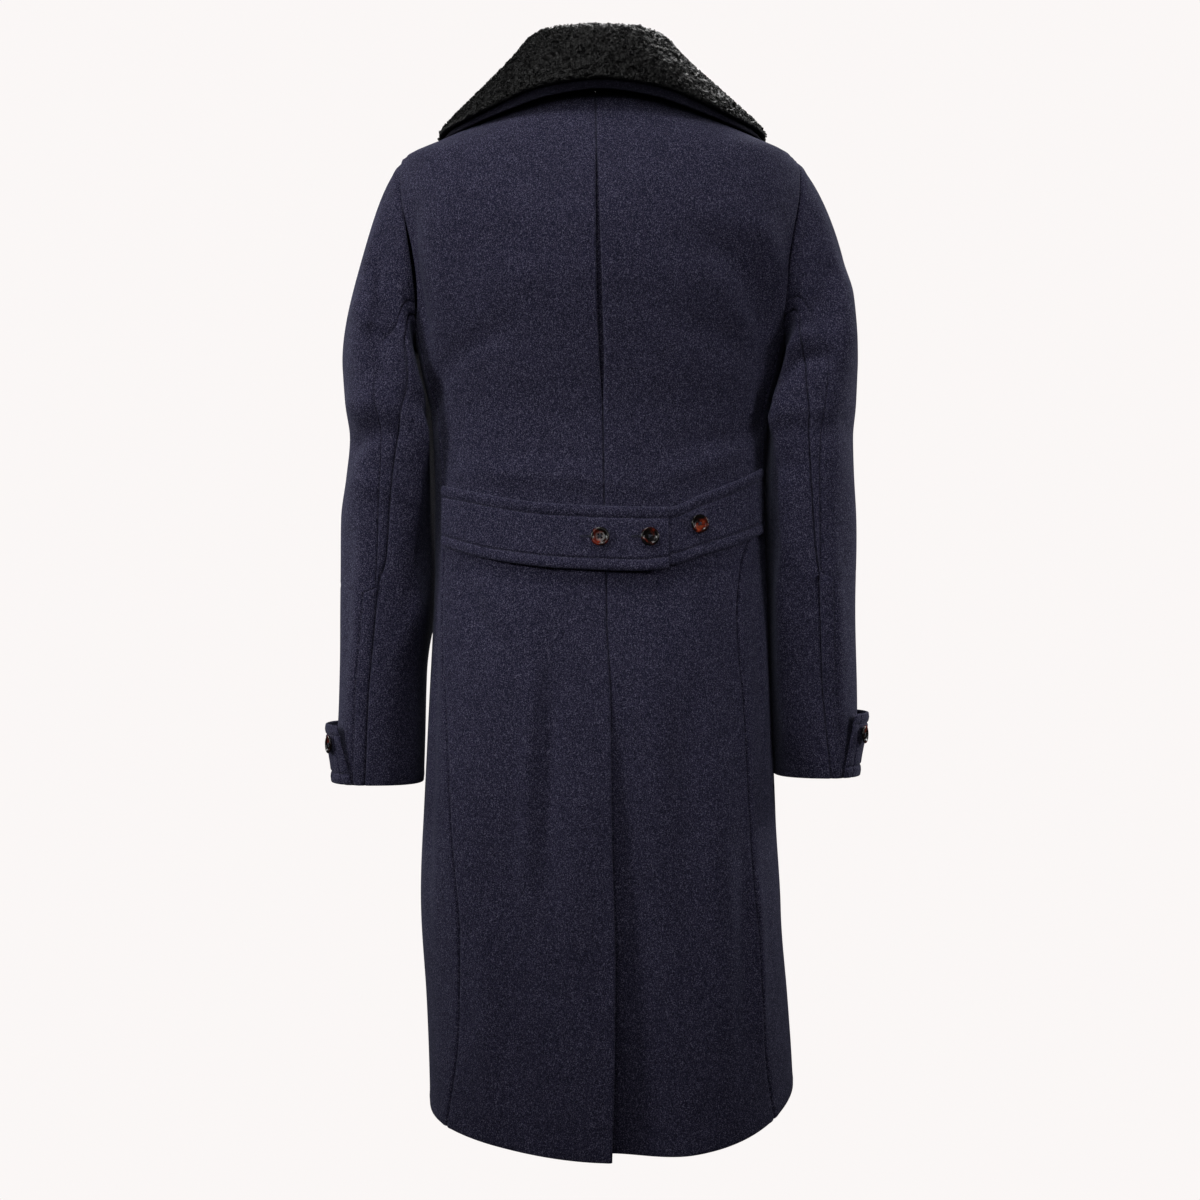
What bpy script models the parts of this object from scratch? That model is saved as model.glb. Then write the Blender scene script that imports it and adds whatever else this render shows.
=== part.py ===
"""A double-breasted greatcoat in heavy wool with a fur collar, filled out as it is worn.

Metres, +Z up. The origin is the middle of the neck at the neck seam. The coat faces -Y, and the wearer's
left is +X. Heights on the cloth are given as the drop below the neck seam, so a drop of 0.2 is z = -0.2.
"""
import math
from collections import namedtuple

import bmesh
import bpy
from mathutils import Vector

# Cloth
WOOL = 0.0025
BELT_WOOL = 0.0040
FUR = 0.0090
SEAM_GAP = 0.0003
STRAP_GAP = 0.0013
SLEEVE_GAP = 0.0007
BELT_GAP = 0.0016
LAPEL_GAP = 0.0013
PLEAT_GAP = 0.0009
PLEAT_COLUMNS = (-0.040, -0.020, 0.0, 0.020, 0.040)
PLEAT_TOP = 0.070
PLEAT_LOW = 0.380
SQUARENESS = 0.06

# The body of the coat, ring by ring. Above the shoulder tips the rings run over the shoulders, and beside
# the armholes they run on across the open armhole.
Ring = namedtuple("Ring", "drop half_width back front drift")
BODY = (
    Ring(0.000, 0.078, 0.066, 0.060, 0.000),
    Ring(0.011, 0.100, 0.078, 0.068, 0.000),
    Ring(0.029, 0.140, 0.090, 0.078, 0.000),
    Ring(0.047, 0.180, 0.100, 0.086, 0.000),
    Ring(0.066, 0.220, 0.109, 0.093, 0.000),
    Ring(0.090, 0.232, 0.118, 0.101, 0.000),
    Ring(0.120, 0.236, 0.127, 0.109, 0.000),
    Ring(0.160, 0.232, 0.133, 0.117, 0.000),
    Ring(0.200, 0.224, 0.133, 0.121, 0.000),
    Ring(0.240, 0.214, 0.128, 0.124, 0.000),
    Ring(0.300, 0.2025, 0.118, 0.125, 0.000),
    Ring(0.360, 0.190, 0.108, 0.123, 0.000),
    Ring(0.450, 0.1855, 0.1055, 0.120, 0.000),
    Ring(0.520, 0.186, 0.111, 0.121, 0.000),
    Ring(0.600, 0.1885, 0.119, 0.124, 0.000),
    Ring(0.700, 0.193, 0.125, 0.129, 0.000),
    Ring(0.800, 0.198, 0.129, 0.134, 0.000),
    Ring(0.900, 0.203, 0.132, 0.138, -0.002),
    Ring(1.000, 0.2025, 0.135, 0.141, -0.008),
    Ring(1.153, 0.2055, 0.138, 0.144, -0.0125),
)
HEM_DROP = 1.153
HEM_EASE_FROM = 0.900
HemRise = namedtuple("HemRise", "most power")
HEM_RISE = {"left": HemRise(0.033, 1.7), "right": HemRise(0.053, 3.0)}
VENT_KICK = 0.0045

# Lines across the back, as x: the centre seam and the two side-back seams
BackLines = namedtuple("BackLines", "drop centre left right")
BACK_LINES = (
    BackLines(0.000, 0.0050, 0.2037, -0.2037),
    BackLines(0.245, 0.0000, 0.2037, -0.2037),
    BackLines(0.300, -0.0020, 0.1935, -0.1935),
    BackLines(0.360, -0.0032, 0.1800, -0.1830),
    BackLines(0.410, -0.0040, 0.1750, -0.1800),
    BackLines(0.450, -0.0045, 0.1740, -0.1740),
    BackLines(0.490, -0.0055, 0.1725, -0.1630),
    BackLines(0.520, -0.0065, 0.1720, -0.1540),
    BackLines(0.580, -0.0075, 0.1725, -0.1495),
    BackLines(0.670, -0.0115, 0.1680, -0.1560),
    BackLines(0.820, -0.0133, 0.1605, -0.1640),
    BackLines(0.930, -0.0163, 0.1530, -0.1715),
    BackLines(1.030, -0.0160, 0.1535, -0.1770),
    BackLines(1.153, -0.0130, 0.1660, -0.1925),
)
SIDE_FRONT_DEG_TOP = 22.0
SIDE_FRONT_DEG_HEM = 34.0
SIDE_FRONT_FROM = 0.245
SIDE_FRONT_TO = 0.600

# The slit between the shoulders and the vent below the half belt
Slit = namedtuple("Slit", "drop half_open")
SLIT = (
    Slit(0.076, 0.0),
    Slit(0.150, 0.0011),
    Slit(0.250, 0.0019),
    Slit(0.310, 0.0014),
    Slit(0.345, 0.0),
)
Vent = namedtuple("Vent", "drop dip reach")
VENT = (
    Vent(0.600, 0.0000, 0.040),
    Vent(0.690, 0.0040, 0.045),
    Vent(0.730, 0.0068, 0.050),
    Vent(0.900, 0.0150, 0.070),
    Vent(1.153, 0.0250, 0.090),
)
VENT_TOP = 0.710
VENT_UNDERLAP = 0.035

# Armholes, as ovals on the body: drop of the top and the bottom, and how far each side spreads
ARMHOLE_TOP = 0.066
ARMHOLE_LOW = 0.268
ARMHOLE_SPREAD_DEG = 29.0
ARMHOLE_POWER = 0.6
ARMHOLE_JOIN_DEG = 22.0
ARMHOLE_MIDDLE_X = 0.235

# Sleeves below the armpit: where the inner, outer, back and front faces lie
Arm = namedtuple("Arm", "drop left_in left_out right_in right_out back front")
ARM = (
    Arm(0.300, 0.2065, 0.2880, 0.2065, 0.2905, 0.076, -0.084),
    Arm(0.340, 0.1990, 0.2858, 0.1990, 0.2885, 0.077, -0.082),
    Arm(0.377, 0.1930, 0.2810, 0.1930, 0.2850, 0.076, -0.080),
    Arm(0.420, 0.1905, 0.2850, 0.1905, 0.2855, 0.073, -0.078),
    Arm(0.467, 0.1905, 0.2912, 0.1905, 0.2870, 0.069, -0.077),
    Arm(0.540, 0.1925, 0.2930, 0.1925, 0.2882, 0.063, -0.077),
    Arm(0.600, 0.1945, 0.2938, 0.1940, 0.2895, 0.058, -0.076),
    Arm(0.670, 0.1975, 0.2965, 0.1970, 0.2905, 0.052, -0.075),
    Arm(0.763, 0.2000, 0.2990, 0.1990, 0.2915, 0.047, -0.072),
)
BICEPS = 0.300
CUFF = {"left": 0.763, "right": 0.755}
SLEEVE_SQUARENESS = 0.04
SLEEVE_CLEAR = 0.0024
PRESSED_POWER = 0.6
Pressed = namedtuple("Pressed", "full_to none_from")
DEEPEST_SHARE = 0.95
PRESSED = {"left": Pressed(0.560, 0.640), "right": Pressed(0.700, 0.763)}

# How the sleeve leaves the armhole, going round from the shoulder tip (0) to the underarm (180)
Head = namedtuple("Head", "turn lean_deg reach")
HEAD = (
    Head(0.0, 8.0, 0.135),
    Head(45.0, 26.0, 0.115),
    Head(90.0, 46.0, 0.100),
    Head(125.0, 72.0, 0.060),
    Head(150.0, 115.0, 0.030),
    Head(180.0, 168.0, 0.016),
)
ARM_STEP = 0.01
HEAD_ARRIVE_INSIDE = 0.05
HEAD_ARRIVE_OUTSIDE = 0.20
HEAD_FULLNESS = {"left": 0.92, "right": 1.10}
Elbow = namedtuple("Elbow", "run left right front")
ELBOW = (
    Elbow(0.00, 140.875, 140.875, 120.0),
    Elbow(0.30, 132.0, 127.0, 119.0),
    Elbow(0.60, 122.5, 113.5, 118.0),
    Elbow(0.80, 112.5, 104.5, 117.0),
    Elbow(1.00, 107.5, 97.5, 116.0),
    Elbow(1.12, 95.2, 92.3, 114.0),
    Elbow(1.25, 91.8, 91.0, 112.0),
    Elbow(1.45, 91.2, 90.2, 110.0),
    Elbow(1.60, 85.8, 88.9, 109.0),
    Elbow(1.75, 81.2, 88.0, 108.0),
    Elbow(2.00, 77.3, 77.0, 106.0),
)

# Fronts and lapels
FRONT_EDGE = 0.075
ROLL_TOP = 0.070
ROLL_DROP = 0.275
FRONT_STEP = 0.0022
STEP_FROM = 0.085
STEP_TO = 0.120
STEP_TOP = 0.030
STEP_FULL = 0.120
LAPEL_TOP = 0.040
LAPEL_TIP = (0.155, 0.132)
LAPEL_KINK = 0.60
LAPEL_KINK_LIFT = 0.020
LAPEL_CLEAR = 0.007
LAPEL_LOW = {"left": 0.267, "right": 0.196}
LAPEL_ROLL_GAP = 0.001
LAPEL_LEAST_WIDTH = 0.006

# Collar, from the centre back (0) to the front end (1): neck seam, top of the fold and outer edge
Station = namedtuple("Station", "at nx ny nz fx fy fz ex ey ez")
COLLAR = (
    Station(0.00, 0.0000, 0.0660, 0.0005, 0.0000, 0.0710, 0.0606, 0.0000, 0.1020, -0.0065),
    Station(0.17, 0.0408, 0.0597, 0.0005, 0.0420, 0.0640, 0.0600, 0.0540, 0.0975, -0.0125),
    Station(0.33, 0.0706, 0.0345, 0.0005, 0.0710, 0.0370, 0.0550, 0.1040, 0.0820, -0.0245),
    Station(0.50, 0.0777, 0.0093, 0.0005, 0.0775, 0.0100, 0.0490, 0.1540, 0.0520, -0.0370),
    Station(0.66, 0.0765, -0.0158, 0.0010, 0.0780, -0.0200, 0.0380, 0.1820, 0.0020, -0.0410),
    Station(0.75, 0.0690, -0.0360, 0.0036, 0.0775, -0.0420, 0.0250, 0.1845, -0.0240, -0.0440),
    Station(0.84, 0.0605, -0.0600, -0.0095, 0.0720, -0.0640, 0.0080, 0.1820, -0.0500, -0.0520),
    Station(0.92, 0.0560, -0.0780, -0.0260, 0.0650, -0.0800, -0.0120, 0.1725, -0.0745, -0.0700),
    Station(1.00, 0.0490, -0.0890, -0.0430, 0.0560, -0.0920, -0.0350, 0.1520, -0.0960, -0.0980),
)
FOLD_RADIUS = 0.0042
FALL_CROWN = 0.0035
FUR_END = 0.925
FUR_EDGE = 0.0050
FUR_THINS_OVER = 0.12
COLLAR_KNOTS = (0.00, 0.16, 0.30, 0.36, 0.42, 0.70, 1.00)
FOLD_BACK = (1.0, 0.9)
FOLD_FORE = (1.1, 0.8)
CROWN_AT = 0.48
COLLAR_ASKEW = 0.055
ASKEW_ABOUT = 0.010

# Half belt: drop of its upper and lower edges by x
Strap = namedtuple("Strap", "x top bottom")
BELT_LEFT = (
    Strap(-0.0725, 0.4579, 0.5245),
    Strap(-0.0400, 0.4578, 0.5275),
    Strap(0.0470, 0.4545, 0.5242),
    Strap(0.0886, 0.4497, 0.5190),
    Strap(0.1250, 0.4425, 0.5125),
    Strap(0.1710, 0.4318, 0.4985),
)
BELT_RIGHT = (
    Strap(-0.1755, 0.4120, 0.4850),
    Strap(-0.1470, 0.4270, 0.4976),
    Strap(-0.1060, 0.4445, 0.5110),
    Strap(-0.0725, 0.4579, 0.5208),
    Strap(0.0200, 0.4600, 0.5190),
)
BELT_RISE = 0.0066
BELT_LAP_END = 0.045
BELT_LAP_FLAT = 0.155
BELT_COLUMN_DROP = 0.48
BELT_COLUMN_CLEAR = 0.008
BELT_BUTTONS = ((0.000, 0.491, "left"), (-0.052, 0.491, "left"), (-0.105, 0.4760, "right"))

# Cuff straps and buttons
CuffStrap = namedtuple("CuffStrap", "top bottom stand_off")
CUFF_STRAP = {"left": CuffStrap(0.697, 0.7625, 0.0105), "right": CuffStrap(0.684, 0.7545, 0.0095)}
STRAP_START = -0.78
STRAP_END_TOP = {"left": 0.542, "right": 0.524}
STRAP_END_LOW = {"left": 0.802, "right": 0.798}
STRAP_BUTTON_AT = {"left": 0.337, "right": 0.325}
STRAP_BUTTON_DOWN = 0.33
STRAP_LIFTED_BY = 0.45
STRAP_SINKS_FROM = 0.62
STRAP_SINK = 0.55
BUTTON_PROFILE = (
    (0.0000, 0.0030), (0.0062, 0.0032), (0.0080, 0.0046), (0.0098, 0.0040),
    (0.0102, 0.0024), (0.0074, 0.0012), (0.0030, 0.0010), (0.0030, 0.0000), (0.0000, 0.0000),
)
BUTTON_SIDES = 12
FRONT_BUTTON_X = (0.050, -0.050)
FRONT_BUTTON_DROPS = (0.320, 0.440, 0.560)

# Where the meshes have their rows and columns
BACK_TURNS = (0.0, 20.0, 40.0, 60.0, 80.0, 100.0, 120.0)
UNDERARM_TURNS = (155.0, 168.0, 180.0)
SHOULDER_DROPS = (0.0, 0.008, 0.018, 0.030, 0.043, 0.056)
LOWER_DROPS = (
    0.275, 0.320, 0.360, 0.410, 0.450, 0.490, 0.530, 0.600, 0.690, 0.730, 0.800, 0.900, 1.000, 1.080, 1.153,
)
BACK_COLUMNS = 5
FRONT_COLUMNS = 7
HEAD_RUNS = (0.0, 0.10, 0.22, 0.36, 0.52, 0.74, 1.0)
ARM_DROPS = (0.340, 0.377, 0.420, 0.467, 0.540, 0.600, 0.670)
COLLAR_COLUMNS = 20
COLLAR_ROWS = (0.0, 0.16, 0.29, 0.36, 0.43, 0.56, 0.70, 0.85)
LAPEL_COLUMNS = 4
LAPEL_ROWS = 7
STRAP_COLUMNS = 9
STRAP_ROWS = (0.0, 0.33, 0.66, 1.0)
SHARP_DEG = 50.0

COLOURS = {
    "wool": ((0.026, 0.029, 0.050, 1.0), 0.95),
    "fur": ((0.010, 0.010, 0.011, 1.0), 1.0),
    "button": ((0.045, 0.012, 0.006, 1.0), 0.25),
}


def along(rows, column, at):
    """One column of a table between its rows, on a curve that never passes the values it joins."""
    places = [row[0] for row in rows]
    values = [getattr(row, column) for row in rows]
    at = min(max(at, places[0]), places[-1])
    i = max(j for j in range(len(rows) - 1) if places[j] <= at)
    span = places[i + 1] - places[i]
    share = (at - places[i]) / span
    start = slope_at(places, values, i) * span
    end = slope_at(places, values, i + 1) * span
    return hermite(values[i], values[i + 1], start, end, share)


def slope_at(places, values, i):
    """The slope of the curve at row i of a table, level at every peak and dip."""
    last = len(places) - 1
    if i in (0, last):
        j = min(i, last - 1)
        return (values[j + 1] - values[j]) / (places[j + 1] - places[j])
    before = (values[i] - values[i - 1]) / (places[i] - places[i - 1])
    after = (values[i + 1] - values[i]) / (places[i + 1] - places[i])
    if before * after <= 0.0:
        return 0.0
    return 2.0 * before * after / (before + after)


def hermite(start, end, leave, arrive, t):
    """A cubic between two values or points, with its direction at both ends."""
    square = t * t
    cube = square * t
    return (
        start * (2.0 * cube - 3.0 * square + 1.0)
        + leave * (cube - 2.0 * square + t)
        + end * (3.0 * square - 2.0 * cube)
        + arrive * (cube - square)
    )


def ease(low, high, value):
    """0 below low, 1 above high, and a smooth step between them."""
    t = min(max((value - low) / (high - low), 0.0), 1.0)
    return t * t * (3.0 - 2.0 * t)


def mix(a, b, t):
    return a + (b - a) * t


def side_sign(side):
    return 1.0 if side == "left" else -1.0


def body_surface(drop, angle):
    """The face of the body's cloth. The angle is 0 at the left side and 90 degrees at the centre back."""
    bulge = 1.0 + SQUARENESS * math.sin(2.0 * angle) ** 2
    depth = along(BODY, "back" if math.sin(angle) >= 0.0 else "front", drop)
    x = along(BODY, "drift", drop) + along(BODY, "half_width", drop) * math.cos(angle) * bulge
    return Vector((x, depth * math.sin(angle) * bulge, -drop))


def body_normal(drop, angle):
    step = 0.0002
    drop = max(drop, step)
    across = body_surface(drop, angle + step) - body_surface(drop, angle - step)
    fall = body_surface(drop + step, angle) - body_surface(drop - step, angle)
    return fall.cross(across).normalized()


def body_point(drop, angle, lift):
    return body_surface(drop, angle) + body_normal(drop, angle) * lift


def angle_at(drop, x):
    """The angle on the back half of a ring where the cloth has this x. Its negative is on the front half."""
    low, high = 0.0, math.pi
    for _ in range(40):
        middle = (low + high) / 2.0
        if body_surface(drop, middle).x > x:
            low = middle
        else:
            high = middle
    return (low + high) / 2.0


def arc_shift(drop, angle, length):
    """The change of angle that moves a point this far round the ring."""
    step = 0.0002
    speed = (body_surface(drop, angle + step) - body_surface(drop, angle - step)).length / (2.0 * step)
    return length / speed


def hem_drop(row, angle):
    """Rows near the hem rise a little towards the sides."""
    rise = HEM_RISE["left" if math.cos(angle) > 0.0 else "right"]
    return row - rise.most * abs(math.cos(angle)) ** rise.power * hem_share(row)


def hem_share(row):
    return max(row - HEM_EASE_FROM, 0.0) / (HEM_DROP - HEM_EASE_FROM)


def armhole_drop(turn):
    """The drop of the armhole's edge, going round from the shoulder tip (0) to the underarm (pi)."""
    return mix(ARMHOLE_TOP, ARMHOLE_LOW, (1.0 - math.cos(turn)) / 2.0)


def armhole_angle(turn):
    spread = math.radians(ARMHOLE_SPREAD_DEG) * abs(math.sin(turn)) ** ARMHOLE_POWER
    return math.copysign(spread, math.sin(turn))


def armhole_turn(drop):
    share = (drop - ARMHOLE_TOP) / (ARMHOLE_LOW - ARMHOLE_TOP)
    return math.acos(min(max(1.0 - 2.0 * share, -1.0), 1.0))


def join_turn():
    """How far round the armhole the side-back seam runs into it."""
    return math.pi - math.asin((ARMHOLE_JOIN_DEG / ARMHOLE_SPREAD_DEG) ** (1.0 / ARMHOLE_POWER))


def side_edge(side, face, drop):
    """The angle where the back or the front ends: shoulder seam, then armhole, then side seam."""
    if drop < ARMHOLE_TOP:
        edge = 0.0
    elif drop <= armhole_drop(join_turn()) + 1e-6:
        edge = armhole_angle(armhole_turn(drop))
    elif face == "front":
        flare = ease(SIDE_FRONT_FROM, SIDE_FRONT_TO, drop)
        edge = math.radians(mix(SIDE_FRONT_DEG_TOP, SIDE_FRONT_DEG_HEM, flare))
    else:
        edge = angle_at(drop, along(BACK_LINES, side, drop))
        edge = edge if side == "left" else math.pi - edge
    if face == "front":
        edge = -edge
    return edge if side == "left" else math.pi - edge


def panel_drops():
    armhole = [armhole_drop(math.radians(t)) for t in BACK_TURNS]
    return [*SHOULDER_DROPS, *armhole, armhole_drop(join_turn()), *LOWER_DROPS]


def seam_allow(drop, edge, towards):
    """Half a seam gap, except along the armhole, where the sleeve keeps the whole gap."""
    low = armhole_drop(join_turn()) + 1e-6
    if ARMHOLE_TOP < drop <= low:
        return edge
    return edge + towards * arc_shift(drop, edge, SEAM_GAP / 2.0)


def vent_dip(drop, x):
    """How deep the right half of the skirt sinks under the left at the vent."""
    if drop < VENT[0].drop:
        return 0.0
    past = along(BACK_LINES, "centre", drop) - x
    return along(VENT, "dip", drop) * (1.0 - ease(0.0, along(VENT, "reach", drop), past))


def back_angle(side, u, drop):
    """Across one half of the back, from the centre seam (0) to the side (1)."""
    sign = side_sign(side)
    centre = along(BACK_LINES, "centre", drop)
    if SLIT[0].drop < drop < SLIT[-1].drop:
        centre += sign * along(SLIT, "half_open", drop)
    if side == "right" and drop > VENT_TOP:
        centre += VENT_UNDERLAP
    start = angle_at(drop, centre)
    start -= sign * arc_shift(drop, start, SEAM_GAP / 2.0)
    end = seam_allow(drop, side_edge(side, "back", drop), sign)
    return mix(start, end, u)


def back_point(side, u, row, lift):
    angle = back_angle(side, u, row)
    drop = hem_drop(row, angle)
    if side == "right":
        drop -= VENT_KICK * hem_share(row) * (1.0 - u)
        lift -= vent_dip(row, body_surface(drop, angle).x)
    return body_point(drop, angle, lift)


def roll_x(drop):
    """The roll line of a lapel, as the distance towards its own side from the centre front."""
    return mix(ROLL_TOP, -FRONT_EDGE, min(drop / ROLL_DROP, 1.0))


def front_lift(side, x, drop):
    """The left front steps out over the right one where they overlap."""
    reach = side_sign(side) * x
    step = FRONT_STEP * (1.0 - ease(STEP_FROM, STEP_TO, reach)) * ease(STEP_TOP, STEP_FULL, drop)
    return side_sign(side) * step


def front_point(side, u, row, lift):
    """Across one front, from the side (0) to the roll line or the front edge (1)."""
    sign = side_sign(side)
    start = seam_allow(row, side_edge(side, "front", row), -sign)
    end = -angle_at(row, sign * roll_x(row))
    end = end if end > -math.pi else end + 2.0 * math.pi
    start = start if start <= math.pi / 2.0 else start - 2.0 * math.pi
    angle = mix(start, end, u)
    drop = hem_drop(row, angle)
    return body_point(drop, angle, lift + front_lift(side, body_surface(drop, angle).x, row))


def side_columns():
    """The columns of a side body, where the armhole's lower part has its points: -1 front, 1 back."""
    half = [armhole_angle(math.radians(t)) / math.radians(ARMHOLE_JOIN_DEG) for t in UNDERARM_TURNS]
    half[-1] = 0.0
    return [-1.0, *[-share for share in half], *half[-2::-1], 1.0]


def side_point(side, share, row, lift):
    """Across the side body, from the side-front seam (-1) to the side-back seam (1)."""
    face = "back" if share >= 0.0 else "front"
    sign = side_sign(side)
    if row == 0:
        turn = math.pi - math.asin(
            (abs(share) * ARMHOLE_JOIN_DEG / ARMHOLE_SPREAD_DEG) ** (1.0 / ARMHOLE_POWER)
        )
        drop = armhole_drop(turn)
        edge = side_edge(side, face, armhole_drop(join_turn()))
    else:
        drop = row
        edge = side_edge(side, face, drop)
    middle = 0.0 if side == "left" else math.pi
    edge = edge if abs(edge - middle) < math.pi else edge + 2.0 * math.pi * sign * -1.0
    allow = math.copysign(arc_shift(drop, edge, SEAM_GAP / 2.0), middle - edge)
    angle = mix(middle, edge + allow, abs(share))
    return body_point(hem_drop(drop, angle) if row else drop, angle, lift)


def body_reach(side, drop, y):
    """How far out the side of the body comes where it lies this far back."""
    angle = math.asin(min(abs(y) / along(BODY, "back" if y >= 0.0 else "front", drop), DEEPEST_SHARE))
    angle = math.copysign(angle, y)
    return side_sign(side) * body_surface(drop, angle if side == "left" else math.pi - angle).x


def arm_point(side, drop, turn):
    """A ring of a sleeve. Its inner half lies along the body as far as the arm is pressed to it."""
    inner = along(ARM, side + "_in", drop)
    outer = along(ARM, side + "_out", drop)
    back = along(ARM, "back", drop)
    front = along(ARM, "front", drop)
    bulge = 1.0 + SLEEVE_SQUARENESS * math.sin(2.0 * turn) ** 2
    middle = (inner + outer) / 2.0
    x = middle + (outer - inner) / 2.0 * math.cos(turn) * bulge
    y = (back + front) / 2.0 + (back - front) / 2.0 * math.sin(turn) * bulge
    if math.cos(turn) < 0.0:
        press = 1.0 - ease(PRESSED[side].full_to, PRESSED[side].none_from, drop)
        touching = body_reach(side, drop, y) + SLEEVE_CLEAR
        x = mix(x, mix(middle, touching, abs(math.cos(turn)) ** PRESSED_POWER), press)
    return Vector((side_sign(side) * x, y, -drop))


def armhole_point(side, turn):
    angle = armhole_angle(turn)
    return body_surface(armhole_drop(turn), angle if side == "left" else math.pi - angle)


def sleeve_start(side, turn):
    """Where the sleeve leaves the armhole, and in which direction."""
    step = 0.01
    edge = armhole_point(side, turn)
    angle = armhole_angle(turn)
    normal = body_normal(armhole_drop(turn), angle if side == "left" else math.pi - angle)
    tangent = armhole_point(side, turn + step) - armhole_point(side, turn - step)
    into = normal.cross(tangent).normalized()
    middle = Vector((side_sign(side) * ARMHOLE_MIDDLE_X, 0.0, -(ARMHOLE_TOP + ARMHOLE_LOW) / 2.0))
    if into.dot(middle - edge) < 0.0:
        into.negate()
    round_deg = math.degrees(turn) % 360.0
    round_deg = min(round_deg, 360.0 - round_deg)
    lean = math.radians(along(HEAD, "lean_deg", round_deg))
    leave = into * math.cos(lean) + normal * math.sin(lean)
    start = edge + (into * math.cos(lean / 2.0) + normal * math.sin(lean / 2.0)) * SEAM_GAP
    return start, leave * along(HEAD, "reach", round_deg) * HEAD_FULLNESS[side]


def sleeve_surface(side, run, turn):
    """The face of a sleeve: run 0 at the armhole, 1 at the biceps and 2 at the cuff's edge."""
    if run >= 1.0:
        return arm_point(side, mix(BICEPS, CUFF[side], run - 1.0), turn)
    start, leave = sleeve_start(side, turn)
    end = arm_point(side, BICEPS, turn)
    arrive = (arm_point(side, BICEPS + ARM_STEP, turn) - end) / ARM_STEP
    arrive *= mix(HEAD_ARRIVE_INSIDE, HEAD_ARRIVE_OUTSIDE, (1.0 + math.cos(turn)) / 2.0)
    return hermite(start, end, leave, arrive, run)


def sleeve_point(side, run, turn, lift):
    step = 0.002
    low = max(run - step, 0.0)
    high = min(run + step, 2.0)
    if low < 1.0 < high:
        low = 1.0
    fall = sleeve_surface(side, high, turn) - sleeve_surface(side, low, turn)
    across = sleeve_surface(side, run, turn + step) - sleeve_surface(side, run, turn - step)
    normal = fall.cross(across).normalized() * side_sign(side)
    return sleeve_surface(side, run, turn) + normal * lift


def sleeve_runs(side):
    lower = [1.0 + (drop - BICEPS) / (CUFF[side] - BICEPS) for drop in ARM_DROPS]
    return [*HEAD_RUNS, *lower, 2.0]


def sleeve_shift(side, run, turn, length):
    """The change of turn that moves a point this far round the sleeve."""
    step = 0.002
    across = sleeve_surface(side, run, turn + step) - sleeve_surface(side, run, turn - step)
    return length / (across.length / (2.0 * step))


def top_sleeve_point(side, share, run, lift):
    """Across the top sleeve, from its forearm seam (-1) over the outside (0) to its elbow seam (1)."""
    seam = math.radians(along(ELBOW, side if share >= 0.0 else "front", run))
    seam -= sleeve_shift(side, run, math.copysign(seam, share), SLEEVE_GAP / 2.0)
    return sleeve_point(side, run, share * seam, lift)


def under_sleeve_point(side, share, run, lift):
    """Across the under sleeve, from its elbow seam (-1) round the inside (0) to its forearm seam (1)."""
    seam = math.radians(along(ELBOW, side if share < 0.0 else "front", run))
    seam += sleeve_shift(side, run, math.copysign(seam, -share), SLEEVE_GAP / 2.0)
    return sleeve_point(side, run, math.pi + share * (math.pi - seam), lift)


def under_sleeve_columns():
    join = math.degrees(join_turn())
    back = [-(180.0 - turn) / (180.0 - join) for turn in (join, *UNDERARM_TURNS[:-1])]
    front = [(180.0 - turn) / (180.0 - BACK_TURNS[-1]) for turn in (*reversed(UNDERARM_TURNS[:-1]), join)]
    return [*back, 0.0, *front, 1.0]


def collar_stations():
    """Both halves of the collar's table, from the right front end (-1) to the left one (1)."""
    right = [
        row._replace(at=-row.at, nx=-row.nx, fx=-row.fx, ex=-row.ex) for row in reversed(COLLAR[1:])
    ]
    return [*right, *COLLAR]


def collar_surface(stations, at, v):
    """The underside of the collar: v 0 at the neck seam, over the fold, and 1 at the outer edge."""
    neck, fold, edge = (
        Vector([along(stations, letter + axis, at) for axis in "xyz"]) for letter in "nfe"
    )
    out = Vector((edge.x - neck.x, edge.y - neck.y, 0.0)).normalized()
    up = Vector((0.0, 0.0, 1.0))
    inner = fold - (out * FOLD_BACK[0] + up * FOLD_BACK[1]) * FOLD_RADIUS
    outer = fold + (out * FOLD_FORE[0] - up * FOLD_FORE[1]) * FOLD_RADIUS
    crown = outer.lerp(edge, CROWN_AT) + (out + up).normalized() * FALL_CROWN
    places = (neck, neck.lerp(inner, 0.5), inner, fold, outer, crown, edge)
    knots = tuple(zip(COLLAR_KNOTS, places, strict=True))
    i = max(j for j in range(len(knots) - 1) if knots[j][0] <= v)
    span = knots[i + 1][0] - knots[i][0]
    leave = knot_direction(knots, i) * span
    arrive = knot_direction(knots, i + 1) * span
    place = hermite(knots[i][1], knots[i + 1][1], leave, arrive, (v - knots[i][0]) / span)
    place.x += COLLAR_ASKEW * (place.z - ASKEW_ABOUT)
    return place


def knot_direction(knots, i):
    before = knots[max(i - 1, 0)]
    after = knots[min(i + 1, len(knots) - 1)]
    return (after[1] - before[1]) / (after[0] - before[0])


def collar_point(stations, at, v, lift):
    """A point of the collar, moved towards its face by lift."""
    step = 0.004
    low, high = max(v - step, 0.0), min(v + step, 1.0)
    west, east = max(at - step, -1.0), min(at + step, 1.0)
    fall = collar_surface(stations, at, high) - collar_surface(stations, at, low)
    across = collar_surface(stations, east, v) - collar_surface(stations, west, v)
    return collar_surface(stations, at, v) + across.cross(fall).normalized() * lift


def belt_lift(side, x):
    """The left strap rises over the right one where they lap, and lies on the back elsewhere."""
    if side == "right":
        return BELT_GAP
    return mix(BELT_RISE, BELT_GAP, ease(BELT_LAP_END, BELT_LAP_FLAT, x))


def belt_point(side, rows, x, down, lift):
    drop = mix(along(rows, "top", x), along(rows, "bottom", x), down)
    lift += belt_lift(side, x)
    return body_point(drop, angle_at(drop, x), lift)


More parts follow.
